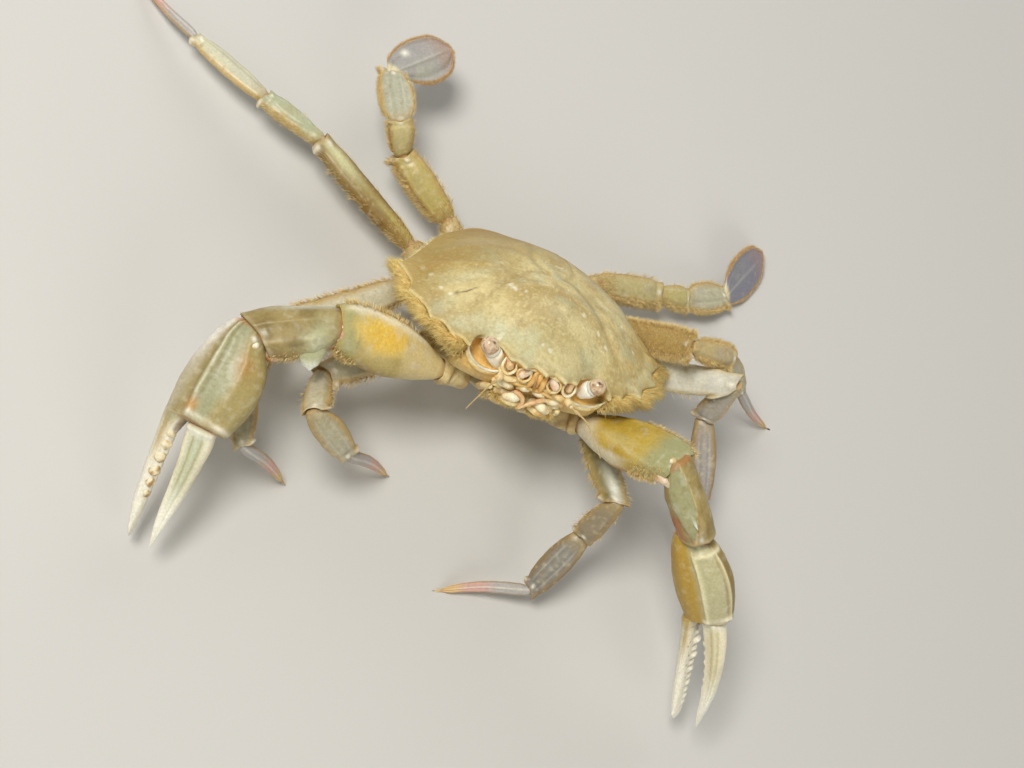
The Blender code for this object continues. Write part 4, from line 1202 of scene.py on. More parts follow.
def build_moving_finger(side):
    points, _, along, width, through = segment(side, 1, 4)
    s = np.concatenate([np.arange(-0.6, 17.2, 0.13), np.linspace(17.2, 18.2, 12)])
    low, high, thick = smooth(MOVING_FINGER, s).T
    close = np.sqrt(np.clip((18.35 - s) / 1.0, 0.02, 1)) * np.sqrt(np.clip((s + 0.75) / 0.8, 0.1, 1))
    middle = (low + high) / 2
    low, high, thick = middle + (low - middle) * close, middle + (high - middle) * close, thick * close
    low, high = low * CLAW_WIDTH[side], high * CLAW_WIDTH[side]
    bow = FINGER_BOW[side] * np.sin(np.pi * np.clip(s, 0, 18) / 18.0)
    centre = points[4] + along * s[:, None] + width * bow[:, None]
    grid, out, c, f = tube(centre, width, through, low, high, thick, 88, 2.3)
    ss = np.broadcast_to(s[:, None], c.shape)
    fade = ramp(0.3, 1.2, ss) * fall(17.2, 18.0, ss)
    outline = c
    c, f = turned(c, f, side)
    grooves = bell(c, 0.38, 0.09) + bell(c, -0.28, 0.09)
    teeth = tooth_row(ss, MOVING_TEETH) * (0.0 if side == "right" else 0.5)
    marked = 1.0 if side == "right" else 0.6
    rise = 0.05 * noise(grid, 1.4, 151, 2) - 0.16 * marked * grooves * np.abs(f) * fall(12, 16, ss)
    rise = rise + 0.12 * bell(c, 0.05, 0.14) * np.abs(f) + teeth * ramp(0.86, 1.0, -c)
    grid = grid + out * (rise * fade)[..., None]
    grid = grid + out * (0.25 * bell(ss, 0.7, 0.4) * np.abs(f))[..., None]
    middle_tone = srgb(202, 208, 176) if side == "right" else srgb(214, 206, 168)
    colour = mix(middle_tone, srgb(244, 236, 206), ramp(0.35, 0.85, np.abs(c)))
    fade = ramp(0.6, 2.0, ss) * fall(8, 13, ss)
    colour = layers(
        colour,
        (srgb(168, 140, 90), 0.6 * marked * grooves * np.abs(f) * fade),
        (srgb(190, 186, 150), 0.25 * ramp(-0.1, 0.5, noise(grid, 2.4, 152, 3))),
        (srgb(248, 244, 226), ramp(7, 14, ss)),
        (srgb(214, 204, 214), 0.4 * ramp(17.0, 18.2, ss)),
        (WHITE, 0.8 * bell(ss, 0.9, 0.5)),
        (srgb(160, 100, 50), 0.8 * fall(-0.2, 0.5, ss)),
    )
    surface = {"points": grid, "out": out, "t": ss / s[-1], "c": outline, "f": f, "along": along}
    make_surface(f"cheliped_dactylus_{side}", surface, colour, "claw", "claw")


def build_wrist_spine(side):
    points, _, along, width, through = segment(side, 1, 2)
    share, aside, out_of = SPINE_ROOT[side]
    root = points[2] + along * LENGTHS[1][1] * share + width * aside + through * out_of
    aim = unit(np.array(SPINE_AIM[side]) @ (along, width, through))
    keys = np.array(SPINE_KEYS[side])
    s = np.linspace(keys[0, 0], keys[-1, 0], 60)
    r = smooth(keys, s)[:, 0]
    side_way = unit(np.cross(aim, through))
    centre, half = root + aim * s[:, None], 1.15 * r
    grid, _, c, _ = tube(
        centre, side_way, np.cross(aim, side_way), -half, half, SPINE_DEPTH[side] * r, 60, 2.0,
    )
    ss = np.broadcast_to(s[:, None], c.shape)
    colour = mix(
        srgb(160, 150, 100), srgb(176, 176, 136), ramp(-1.0, 2.4, ss + 0.6 * noise(grid, 1.5, 163, 2)),
    )
    colour = layers(
        colour,
        (srgb(226, 230, 216), 0.9 * ramp(0.66, 0.95, ss / s[-1])),
        (OLIVE, 0.3 * ramp(0, 0.6, noise(grid, 1.2, 161, 2)) * fall(1, 3, ss)),
    )
    make(f"cheliped_spine_{side}", *closed_grid(grid, colour), "claw", "claw")


CLAW_KNOBS = {  # white hinge knobs: places in the body, and size
    "right": [((-28.4, -15.8, -3.5), 0.75), ((-38.1, -19.1, -9.2), 0.75)],
    "left": [((20.0, -24.2, 0.5), 0.6), ((37.3, -31.0, -15.4), 0.6), ((33.9, -29.8, -17.5), 0.55)],
}
CLAW_SKINS = {  # soft skin that bulges at the inner side of a bend: both ends, thickness and colour
    "right": [
        ((-28.0, -16.0, -4.6), (-28.9, -16.3, -6.4), 1.15, srgb(204, 152, 118)),
        ((-34.4, -18.0, -9.2), (-35.2, -18.2, -10.2), 1.0, srgb(186, 128, 74)),
    ],
    "left": [((19.3, -24.6, -2.3), (21.3, -25.3, -2.1), 0.75, srgb(206, 178, 142))],
}


def build_claw_joints(side):
    parts = []
    for spot, size in CLAW_KNOBS[side]:
        knob = ellipsoid(place(spot), np.eye(3) * size, 24, 30)
        knob = knob + 0.25 * size * noise(knob, 0.6, 147, 2)[..., None] * unit(knob - place(spot))
        parts.append(
            (knob, mix(srgb(250, 242, 216), srgb(214, 190, 138), ramp(-0.3, 0.4, noise(knob, 0.6, 148))))
        )
    make_grid(f"claw_knobs_{side}", parts, "claw", "claw")
    parts = []
    for first, last, size, tone in CLAW_SKINS[side]:
        skin, out, _ = capsule([place(first), place(last)], (size, size), 24, 36)
        skin = skin + 0.2 * noise(skin, 0.8, 149, 2)[..., None] * out
        parts.append((skin, mix(tone, srgb(244, 226, 198), 0.7 * ramp(-0.2, 0.5, noise(skin, 0.8, 150, 2)))))
    make_grid(f"claw_skins_{side}", parts, "claw", "claw")


def build_claws():
    for side in ("right", "left"):
        build_base(side, 1)
        wrist = carpus_relief if side == "right" else left_carpus_relief
        for index, relief, kind, paint in (
            (1, arm_relief, "merus", arm_paint), (2, wrist, "carpus", wrist_paint),
        ):
            surface = limb_grid(side, 1, index, 96, 0.16, relief)
            make_surface(f"cheliped_{kind}_{side}", surface, paint(surface, side), "claw", "claw")
        build_wrist_spine(side)
        build_palm(side)
        build_moving_finger(side)
        build_claw_joints(side)
        joint_membranes(side, 1)


# Carapace
RIM_COUNT = 720
TOP_ROWS = 98
WALL_ROWS = 35


def rim_curves():
    """The toothed rim and a smooth curve through the valleys of its teeth, at the same places all round."""
    half = np.array(RIM)
    soft = half.copy()
    for i in TOOTH_TIPS:
        before = half[i - 1] if i else half[1] * (-1, 1, 1)
        soft[i, :2] = (before[:2] + half[i + 1, :2]) / 2
    tips = [i for i in TOOTH_TIPS if i]
    stops = [0, *tips, len(half) - 1]
    fine, smooth_line = [], []
    for a, b in zip(stops, stops[1:]):
        keys = np.concatenate([np.arange(a, b + 1)[:, None], half[a : b + 1]], 1)
        u = np.linspace(a, b, 60 * (b - a), endpoint=b == len(half) - 1)
        fine.append(smooth(keys, u))
        smooth_line.append(smooth(np.concatenate([np.arange(len(half))[:, None], soft], 1), u))
    fine, smooth_line = np.concatenate(fine), np.concatenate(smooth_line)
    mirror = (-1, 1, 1)
    fine = np.concatenate([fine, fine[-2:0:-1] * mirror])
    smooth_line = np.concatenate([smooth_line, smooth_line[-2:0:-1] * mirror])
    steps = np.linalg.norm(np.roll(fine, -1, 0) - fine, axis=1)
    place_of = np.concatenate([[0], np.cumsum(steps)])
    at = np.linspace(0, place_of[-1], RIM_COUNT, endpoint=False)

    def around(pts):
        return np.stack([np.interp(at, place_of, np.append(pts[:, k], pts[0, k])) for k in range(3)], 1)

    return around(fine), around(smooth_line), place_of[-1]


def calmed(ring, size, length):
    """A closed ring with its detail below a size in millimetres taken out."""
    k = np.fft.fftfreq(len(ring), length / len(ring)) * 2 * np.pi
    return np.real(np.fft.ifft(np.fft.fft(ring, axis=0) * np.exp(-((k * size) ** 2) / 2)[:, None], axis=0))


def back_height(x, y, share, edge):
    """Height of the smooth back at a share of the way from its middle to the rim."""
    z = edge * share**2 + DOME * (1 - share**2.3)
    for mx, my, radius, rise in MOUNDS:
        for sx in {mx, -mx}:
            z = z + rise * np.exp(-((x - sx) ** 2 + (y - my) ** 2) / radius**2) * (1 - share**6)
    return z


GROOVES = [  # furrows of the back, left half: places, width and depth
    ([(1.4, -0.2), (3.4, -0.4), (5.2, -1.8), (7.6, -4.4), (9.6, -7.0), (11.6, -9.0)], 0.8, 0.30),
    ([(1.6, 0.4), (2.9, 1.6), (3.5, 3.6), (3.3, 6.2), (2.7, 9.0)], 0.6, 0.30),
    ([(0.0, -9.5), (0.0, -13.5)], 0.5, 0.16),
    ([(7.6, -4.4), (11.0, -4.6), (15.0, -4.4)], 0.8, 0.16),
    ([(4.4, -10.6), (6.2, -12.2)], 0.7, 0.2),
]
RIDGES = [  # places, width and height
    ([(20.6, -0.6), (16.5, -0.6), (12.5, -1.4), (9.5, -1.2), (7.4, 0.2)], 0.55, 0.28),
    ([(1.2, -7.6), (3.6, -8.3), (6.6, -7.9)], 0.5, 0.16),
    ([(0.0, -3.6), (2.6, -3.7), (5.0, -4.4)], 0.5, 0.14),
    ([(9.5, -11.0), (12.0, -10.2), (14.4, -8.6)], 0.6, 0.14),
    ([(4.6, 2.6), (8.4, 4.0), (12.6, 4.2), (16.2, 3.4)], 0.7, 0.14),
]
SCRATCH = [(-14.0, -6.9), (-12.6, -6.75), (-11.4, -6.1)]
SCAR = [(13.6, -7.4), (14.6, -8.6), (15.9, -9.8)]
WHITE_SPOTS = [  # places and radii
    (-18.3, -1.3, 0.35), (-17.2, -3.0, 0.42), (-15.9, -5.9, 0.35), (-14.5, -7.0, 0.35), (-6.95, -4.85, 0.5),
    (-6.5, -5.75, 0.5), (-4.86, -6.05, 0.35), (4.26, -6.37, 0.6), (-1.33, -13.45, 0.35),
    (-0.04, -13.77, 0.42), (7.2, -7.42, 0.35), (8.97, -8.46, 0.4), (-6.9, -12.6, 0.3), (11.9, -2.3, 0.3),
    (14.8, -4.4, 0.35),
]
PALE_PATCHES = [  # places, reach along and across, and strength
    (-13.1, -11.6, 3.0, 1.0, 0.8), (-7.9, -11.6, 1.7, 1.0, 0.6), (-16.6, -10.2, 1.4, 0.8, 0.7),
    (-12.8, -4.2, 2.6, 0.7, 0.5), (-10.2, -2.4, 2.4, 0.6, 0.35), (15.4, -10.4, 1.6, 1.4, 0.6),
    (7.8, -10.8, 2.6, 1.4, 0.4), (-9.3, 6.0, 4.0, 1.2, 0.3), (9.4, -1.6, 3.0, 0.6, 0.5),
    (12.4, 1.4, 3.4, 0.6, 0.5), (5.0, -3.6, 3.0, 0.8, 0.3), (-14.7, 4.2, 2.6, 0.8, 0.4),
    (0.0, -9.0, 3.4, 2.0, 0.3), (-3.4, 2.0, 3.0, 1.4, 0.3), (-15.4, -8.6, 2.2, 0.9, 0.6),
    (-10.6, -12.0, 1.6, 0.8, 0.6),
]


def carapace_relief(x, y, share, p):
    """Regions, furrows and granules of the back."""
    rise = 0.06 * noise(p, 2.4, 201, 2) + 0.05 * (0.55 - cells(p, 0.42, 202))
    for points, width, depth in GROOVES:
        away = line_distance(np.abs(x), y, points)
        soft = 0.75 + 0.35 * noise(p, 1.6, 204)
        rise = rise - 0.75 * depth * soft * bell(away, 0, width)
        rise = rise + 0.3 * depth * bell(away, 1.9 * width, width)
    for points, width, height in RIDGES:
        away = line_distance(np.abs(x), y, points)
        rise = rise + height * (0.75 + 0.25 * noise(p, 0.35, 203)) * bell(away, 0, width)
    return rise * fall(0.95, 0.995, share) + 0.07 * bell(share, 0.985, 0.01)


def carapace_paint(x, y, share, p):
    n1, n2, n3 = noise(p, 6.0, 211, 3), noise(p, 1.7, 212, 3), noise(p, 0.55, 213, 2)
    colour = mix(BEIGE, OLIVE, 0.85 * ramp(-0.15, 0.5, n1))
    colour = layers(
        colour,
        (srgb(184, 158, 102), 0.7 * ramp(0.05, 0.5, noise(p, 4.0, 214, 3))),
        (GREENISH, 0.65 * ramp(0.0, 0.5, noise(p, 3.2, 215, 3))),
        (srgb(172, 146, 88), 0.4 * ramp(0.05, 0.5, noise(p, 1.8, 219, 3))),
    )
    for px, py, rx, ry, strength in PALE_PATCHES:
        turn = 0.35 * np.sign(px)
        dx, dy = x - px, y - py
        u, v = dx * math.cos(turn) - dy * math.sin(turn), dx * math.sin(turn) + dy * math.cos(turn)
        soft = np.exp(-((u / (1.2 * rx)) ** 2) - (v / (1.2 * ry)) ** 2)
        colour = mix(colour, srgb(200, 204, 170), strength * soft * (0.75 + 0.5 * n2))
    # painted shade: the paint is darker along the furrows, the more the deeper they are
    for points, width, depth in GROOVES:
        away = line_distance(np.abs(x), y, points)
        colour = mix(colour, srgb(150, 126, 72), 1.2 * depth * bell(away, 0, 0.7 * width))
    for points, width, height in RIDGES:
        away = line_distance(np.abs(x), y, points)
        colour = mix(
            colour, srgb(220, 214, 168), 1.6 * height * bell(away, 0, 0.6 * width) * ramp(-0.4, 0.4, n2),
        )
    away = line_distance(x, y, SCRATCH)
    colour = mix(colour, srgb(96, 76, 40), 0.75 * bell(away, 0, 0.16))
    away = line_distance(x, y, SCAR)
    colour = layers(
        colour,
        (srgb(206, 170, 96), 0.8 * bell(away, 0, 0.55) * ramp(-0.5, 0.2, n3)),
        (srgb(88, 64, 34), 0.7 * bell(away, 0, 0.4) * ramp(0.35, 0.55, n3)),
    )
    for px, py, r in WHITE_SPOTS:
        away = np.hypot(x - px, y - py) * (1 + 0.45 * n3)
        colour = mix(colour, srgb(240, 234, 206), 0.8 * fall(0.35 * r, 1.2 * r, away))
    colour = layers(
        colour,
        (srgb(156, 134, 78), 0.35 * ramp(0.1, 0.6, n3)),
        (srgb(228, 216, 166), 0.36 * ramp(0.15, 0.6, noise(p, 0.3, 216))),
    )
    # painted shade: the rear is painted a darker, deeper tan where the light falls off
    rear = ramp(6, 14, y)
    colour = mix(colour, srgb(172, 136, 48), 0.85 * rear)
    lint = ramp(0.5, 0.62, noise(p, 0.55, 217, 2)) * ramp(0.1, 0.5, noise(p, 3.0, 218))
    colour = mix(colour, srgb(238, 234, 204), 0.55 * lint)
    # painted shade: the right rear slope is painted darker where the light falls off
    shaded_slope = ramp(1.0, 9.0, y - 0.5 * x)
    colour = mix(colour, srgb(160, 128, 50), 0.55 * shaded_slope)
    front = fall(-13.5, -9.5, y + 0.25 * np.abs(x) * (np.abs(x) > 9))
    colour = layers(
        colour,
        (srgb(194, 190, 148), 0.35 * front),
        (srgb(178, 150, 86), 0.35 * bell(share, 0.975, 0.01)),
    )
    return mix(colour, srgb(232, 220, 168), 0.75 * ramp(0.986, 0.996, share))


def wall_point(rim, soft, v):
    """The wall under the rim: v is 0 at the rim and 1 at the seam with the sternum."""
    x, y, z = soft.T
    turn = np.arctan2(np.abs(x), -y)
    share = 0.50 + 0.10 * np.maximum(0, np.cos(turn)) + 0.22 * np.maximum(0, -np.cos(turn))
    scale = 0.965 - (0.965 - share) * v
    top = z - 0.6
    px, py = x * scale, y * scale
    face = -(FACE_BULGE[0] - FACE_BULGE[1] * px * px) * np.interp(
        v, (0.0, 0.3, 0.65, 1.0), (1.0, 1.0, 0.9, 0.66),
    )
    here = fall(*FACE_HALF, np.abs(px)) * ramp(0.0, 0.3, v) * (y < 0)
    py = py + np.minimum(0, face - py) * here
    low = SEAM[0] + SEAM[1] * py
    inner = np.stack([px, py, top + (low - top) * v**0.85], 1)
    blend = ramp(0.0, 0.12, np.array(v))
    edge = rim * (0.988, 0.988, 1) - (0, 0, 0.42)
    return edge * (1 - blend) + inner * blend


def build_carapace():
    rim, soft, length = rim_curves()
    base = calmed(soft, 0.9, length) * (0.985, 0.985, 1)
    u = np.linspace(0, 1, TOP_ROWS)
    shares = 0.02 + 0.98 * (1 - (1 - u) ** 1.25)
    rows, share_rows = [], []
    for share in shares:
        ring = calmed(base, 14.0 * (1 - share) ** 0.8, length)
        grow = ramp(0.935, 1.0, np.array(share)) if share < 1 else 1.0
        x, y = (ring[:, :2] * share).T
        x, y = x * (1 - grow) + rim[:, 0] * grow, y * (1 - grow) + rim[:, 1] * grow
        edge = ring[:, 2] * (1 - grow) + rim[:, 2] * grow
        z = back_height(x, y, share, edge)
        rows.append(np.stack([x, y, z], 1))
        share_rows.append(np.full(len(x), share))
    top = np.array(rows)
    share = np.array(share_rows)
    x, y = top[..., 0], top[..., 1]
    top[..., 2] += carapace_relief(x, y, share, top)
    top_paint = carapace_paint(x, y, share, top)
    edges = [rim * (s, s, 1) - (0, 0, d) for s, d in ((1.001, 0.08), (1.0, 0.2), (0.996, 0.32))]
    walls = [wall_point(rim, calmed(base, 0.6 + 3 * v, length), v) for v in np.linspace(0.02, 1, WALL_ROWS)]
    under = np.array(edges + walls)
    v = np.concatenate([np.zeros(len(edges)), np.linspace(0.02, 1, WALL_ROWS)])[:, None] * np.ones(RIM_COUNT)
    x, y, z = under[..., 0], under[..., 1], under[..., 2]
    front = fall(-11.5, -9.0, y)
    orbit = np.exp(-(((np.abs(x) - 8.1) / 2.5) ** 4) - ((z + 0.5) / 1.45) ** 4) * front
    nose = np.exp(-((np.abs(x) / 4.6) ** 4) - ((z - 0.5) / 0.8) ** 2) * front
    chin = bell(z, -3.1, 0.5) * np.exp(-(((np.abs(x) - 8.6) / 3.6) ** 4)) * front
    under[..., 1] += 1.25 * orbit - 0.1 * nose + 0.3 * chin
    under += 0.08 * noise(
        under, 0.8, 221, 2,
    )[..., None] * unit(under * (1, 1, 0)) * ramp(0.02, 0.1, v)[..., None]
    side = ramp(9.0, 12.0, np.abs(x))
    hairy = ramp(11.0, 13.0, np.abs(x)) * fall(-2.0, 3.0, y)
    under_paint = mix(srgb(222, 196, 128), srgb(204, 170, 100), ramp(-0.3, 0.5, noise(under, 2.2, 222, 3)))
    under_paint = layers(
        under_paint,
        (srgb(214, 196, 140), 0.6 * side * ramp(0.35, 0.7, v)),
        # painted light: the wall under the side fringe is painted paler to lift the shade among its bristles
        (srgb(240, 212, 146), 0.8 * hairy * fall(0.3, 0.6, v)),
        # partly the pale cream of the hollows, partly painted light: the orbits and the nose hollow are
        # painted near white to lift their shade
        (srgb(255, 236, 180), 0.9 * np.maximum(orbit, nose)),
        (srgb(236, 190, 106), 0.85 * (1 - side) * fall(0.3, 0.6, v) * front),
        (CREAM, 0.5 * (1 - side) * ramp(0.6, 0.85, v)),
        (srgb(232, 220, 168), 0.8 * fall(0.0, 0.025, v)),
    )
    paint = np.concatenate([top_paint, under_paint])
    body = np.concatenate([top, under])
    surface = {"points": place(body), "body": body, "share": np.concatenate([share, 1 + v])}
    make_surface("carapace", surface, paint, "carapace", "carapace")


# Underside
def build_sternum():
    rows = []
    a = np.linspace(0, 2 * np.pi, 200, endpoint=False)
    middle, half = (STERNUM_FRONT + STERNUM_REAR) / 2, (STERNUM_REAR - STERNUM_FRONT) / 2
    for d in np.linspace(0, 1, 30):
        scale = np.sqrt(max(1e-4, 1 - max(0.0, d - 0.3) ** 2 / 0.49 * 0.98))
        y = middle - rounded_box(np.cos(a), 2.5) * half * scale
        x = rounded_box(np.sin(a), 2.5) * STERNUM_HALF * scale
        top = SEAM[0] + SEAM[1] * y
        rows.append(np.stack([x, y, top - STERNUM_DEPTH * d], 1))
    body = np.array(rows)
    x, y = body[..., 0], body[..., 1]
    sutures = np.zeros(x.shape)
    for k, at in enumerate((-6.2, -1.2, 4.0, 9.2)):
        bend = y - at - 0.10 * np.abs(x) * (1 + 0.3 * k)
        sutures = sutures + bell(bend, 0, 0.28) * ramp(1.5, 3.0, np.abs(x))
    body[..., 2] += 0.35 * sutures + 0.3 * bell(x, 0, 0.3) - 0.06 * noise(body, 1.6, 231, 2)
    colour = mix(srgb(222, 212, 176), srgb(198, 180, 132), ramp(-0.2, 0.6, noise(body, 2.5, 232, 3)))
    colour = layers(
        colour,
        (srgb(150, 112, 64), 0.6 * np.clip(sutures, 0, 1)),
        (srgb(190, 168, 116), 0.5 * ramp(7.5, 10.0, np.abs(x))),
    )
    make_surface("sternum", {"points": place(body)}, colour, "underside", "underside")


def build_abdomen():
    keys = [(i, *row) for i, row in enumerate(ABDOMEN_PATH)]
    t = np.linspace(0, len(keys) - 1, 110)
    y, z, wide = smooth(keys, t).T
    centre = place(np.stack([0 * y, y, z], 1))
    along = unit(np.gradient(centre, axis=0))
    through = np.cross((1.0, 0, 0), along)
    close = np.sqrt(np.clip((len(keys) - 1 - t + 0.02) / 0.25, 0.03, 1))
    close = close * np.sqrt(np.clip((t + 0.02) / 0.1, 0.1, 1))
    half = wide / 2 * close
    grid, out, c, _ = tube(centre, (1.0, 0, 0), through, -half, half, ABDOMEN_THICKNESS * close, 96, 2.6)
    tt = np.broadcast_to(t[:, None], c.shape)
    joint = sum(bell(tt, at, 0.05) for at in ABDOMEN_JOINTS)
    ridge = sum(bell(tt, at - 0.14, 0.09) for at in ABDOMEN_JOINTS)
    rise = 0.2 * ridge - 0.3 * joint + 0.05 * noise(grid, 1.2, 241, 2) + 0.12 * bell(c, 0, 0.35)
    grid = grid + out * rise[..., None]
    colour = mix(srgb(224, 214, 180), srgb(198, 176, 126), ramp(-0.2, 0.6, noise(grid, 2.0, 242, 3)))
    colour = layers(
        colour,
        (srgb(150, 104, 58), 0.7 * np.clip(joint, 0, 1)),
        (WHITE, 0.4 * ridge),
        (srgb(196, 166, 100), 0.7 * fall(0.4, 1.6, tt)),
    )
    make_surface("abdomen", {"points": grid}, colour, "underside", "underside")


# Eyes, feelers, face
def make_grid(name, parts, material, slot, node=None):
    """One piece from several (grid, paint) pairs."""
    verts, faces, paint = join([closed_grid(grid, colour) for grid, colour in parts])
    return make(name, verts, faces, paint, material, slot, node)


PUPIL = (-0.17, -0.5, 0.82)  # the way the dark spot of the left cornea looks


def build_eye(side):
    root, tip = mirrored(STALK_ROOT[side], side), mirrored(EYE_TIP, side)
    along = tip - root
    stalk_line = [root + along * s for s in (-0.1, 0.2, 0.42, 0.68)]
    stalk, out, t = capsule(stalk_line, (1.05, 1.22, 1.24, 1.16), 44, 56)
    stalk = stalk + out * (-0.14 * bell(t, 0.8, 0.07) + 0.05 * noise(stalk, 1.2, 250, 2))[..., None]
    colour = mix(srgb(252, 246, 228), srgb(238, 222, 190), ramp(-0.1, 0.7, noise(stalk, 1.1, 251, 2)))
    # painted shade: a darker ring in the sunken neck of the stalk
    colour = mix(colour, srgb(214, 172, 124), 0.45 * bell(t, 0.82, 0.04))
    ball, out, s = capsule([root + along * s for s in (0.72, 0.86, 1.0)], (1.1, 1.25, 1.2), 44, 84)
    facets = 0.5 - cells(ball, 0.11, 252)
    ball = ball + out * (0.012 * facets)[..., None]
    dots = fall(0.2, 0.4, cells(ball, 0.3, 253))
    cornea = mix(srgb(226, 202, 168), srgb(190, 156, 120), ramp(-0.3, 0.5, noise(ball, 0.45, 254, 3)))
    cornea = mix(cornea, srgb(92, 60, 46), 0.8 * dots * ramp(-0.3, 0.2, noise(ball, 0.6, 256)))
    normal = unit(ball - root - along * 0.95)
    spot = unit(np.array(PUPIL) * (side_sign(side), 1, 1) @ TURN.T)
    long_way = unit(np.cross(spot, (0.3, 1.0, 0.2)))
    apart = normal - spot
    ring = np.hypot(apart @ long_way / 0.3, apart @ np.cross(spot, long_way) / 0.17)
    ring = ring + 0.5 * noise(ball, 0.3, 255, 2)
    cornea = layers(
        cornea,
        (srgb(46, 30, 26), 0.9 * fall(0.6, 1.15, ring) * (normal @ spot > 0)),
        (srgb(244, 232, 204), fall(0.02, 0.12, s)),
    )
    make_grid(f"eye_shell_{side}", [(stalk, colour), (ball, cornea)], "eye", "eye", f"eye_{side}")


def build_feeler(side):
    points = [mirrored(p, side) for p in FEELER]
    grid, out, t = capsule(points, (0.7, 0.32, 0.1, 0.06), 260, 32)
    base = fall(0.34, 0.40, t)
    rings = np.sin(t * 2 * np.pi * 60)
    rise = 0.10 * bell(t, 0.12, 0.05) + 0.12 * bell(t, 0.28, 0.05)
    rise = base * (rise - 0.22 * bell(t, 0.19, 0.015) - 0.2 * bell(t, 0.335, 0.012))
    rise = rise - 0.35 * bell(t, 0.40, 0.03) + 0.02 * rings * (1 - base)
    grid = grid + out * rise[..., None]
    colour = mix(srgb(236, 214, 164), srgb(196, 168, 114), ramp(0.3, 0.6, t))
    dark = 0.6 * (bell(t, 0.19, 0.012) + bell(t, 0.335, 0.01)) + 0.25 * ramp(0.2, 0.9, -rings) * (1 - base)
    colour = mix(colour, BROWN, dark)
    make_grid(f"antenna_shell_{side}", [(grid, colour)], "mouthparts", "mouthparts", f"antenna_{side}")


def build_maxilliped(side):
    """The outer mouth leg's long inner plate, with its grooves; its square outer plate and bent palp come
    with the face.
    """
    root, tip = mirrored(MOUTH_ROOT, side), mirrored(MOUTH_TIP, side)
    along, width = unit(tip - root), np.array((1.0, 0, 0)) * side_sign(side)
    through = np.cross(np.array((1.0, 0, 0)), along)
    length = np.linalg.norm(tip - root)
    s = np.linspace(0, 1, 70)
    w = np.interp(
        s, (0.0, 0.06, 0.2, 0.5, 0.62, 0.7, 0.9, 1.0), (0.45, 0.78, 0.98, 1.0, 0.94, 1.0, 0.94, 0.5),
    )
    half = 4.1 / 2 * w
    centre = root + along * (s * length)[:, None]
    grid, out, c, f = tube(centre, width, through, -half, half, 1.9 * (0.5 + w / 2), 80, 3.0)
    t = np.broadcast_to(s[:, None], c.shape)
    groove = bell(t, 0.62, 0.018) + 0.7 * bell(c, 0.32, 0.05) * fall(0.5, 0.6, t)
    rise = -0.3 * groove + 0.05 * noise(grid, 0.9, 261, 2) + 0.14 * bell(c, -0.4, 0.25) * np.abs(f)
    grid = grid + out * rise[..., None]
    colour = mix(srgb(222, 206, 158), srgb(196, 158, 94), ramp(-0.2, 0.6, noise(grid, 1.6, 262, 3)))
    colour = layers(
        colour,
        (BROWN, 0.7 * np.clip(groove, 0, 1)),
        (WHITE, 0.5 * bell(c, -0.9, 0.15)),
    )
    remember(f"maxilliped_{side}", {"points": grid, "t": t, "c": c, "f": f, "along": along})
    make_grid(f"maxilliped_shell_{side}", [(grid, colour)], "mouthparts", "mouthparts", f"maxilliped_{side}")


ORBIT_RIM = {  # the lower rims of the orbits, across and up
    "right": [
        (5.0, -1.3), (5.8, -1.85), (6.9, -2.25), (8.2, -2.3), (9.4, -1.85), (10.3, -1.05), (10.8, -0.1),
    ],
    "left": [(5.4, -1.5), (6.3, -2.05), (7.3, -2.35), (8.5, -2.5), (9.8, -2.3), (10.9, -1.6), (11.5, -0.5)],
}
STALK_ROOT = {"right": (6.0, -13.9, -0.9), "left": (7.5, -13.9, -0.5)}


def face_piece(points, radii, steps, cols, tones, seed):
    """A short bent rod of the face, from body places."""
    grid, out, _ = capsule(place(points), radii, steps, cols)
    grid = grid + out * (0.05 * noise(grid, 0.7, 271 + seed, 2))[..., None]
    return grid, mix(tones[0], tones[1], ramp(-0.3, 0.5, noise(grid, 0.9, 272 + seed, 2)))


PEARL = (srgb(252, 240, 206), srgb(236, 204, 146))
PALE = (srgb(244, 220, 164), srgb(224, 184, 116))
TAWNY = (srgb(234, 192, 118), srgb(210, 156, 84))
ROSY = (srgb(228, 190, 140), srgb(208, 156, 108))
RIM_TONES = (srgb(252, 242, 210), srgb(244, 218, 158))
KNOB_TONES = (srgb(240, 214, 168), srgb(206, 168, 118))
BALL_TONES = (srgb(248, 230, 204), srgb(230, 192, 158))
OUTER_TONES = (srgb(232, 216, 168), srgb(212, 176, 114))
FEATHER_TONES = (srgb(206, 164, 104), srgb(160, 120, 70))
# Rods of the left half of the face: body places, radii at them, steps along and around, tones and seed.
# Those of MOUTH_WALL have x and z, and the distance that they stand proud of the wall under the rim.
ANTENNULE = [
    ([(5.5, -15.1, 0.8), (5.6, -15.6, -0.2), (5.0, -16.0, -0.9), (4.2, -16.1, -0.8), (3.7, -15.9, 0.0),
      (3.9, -15.6, 0.7)], (0.12, 0.2, 0.24, 0.24, 0.2, 0.12), 70, 20, PEARL, 4),
    ([(4.65, -15.1, 0.6), (4.6, -15.7, 0.1)], (0.66, 0.56), 16, 24, KNOB_TONES, 5),
    ([(5.3, -15.5, -1.3), (4.2, -15.9, -1.7), (3.0, -15.9, -1.6)], (0.36, 0.52, 0.36), 30, 22, PALE, 25),
    ([(3.5, -15.6, 0.9), (2.6, -15.9, 1.0), (1.2, -15.9, 1.1)], (0.2, 0.32, 0.24), 30, 22, PALE, 28),
    ([(1.4, -15.9, 0.6), (1.4, -16.3, -0.4), (2.2, -16.5, -1.0), (3.1, -16.3, -0.6), (3.3, -16.0, 0.2),
      (2.6, -15.9, 0.8)], (0.1, 0.17, 0.2, 0.19, 0.16, 0.1), 70, 20, PALE, 6),
    ([(1.9, -15.7, 0.4), (2.6, -16.1, -0.2)], (0.62, 0.6), 16, 24, BALL_TONES, 7),
    ([(0.75, -15.8, 0.8), (0.8, -16.2, -0.4), (0.9, -16.1, -1.5)], (0.3, 0.42, 0.34), 30, 22, TAWNY, 29),
]
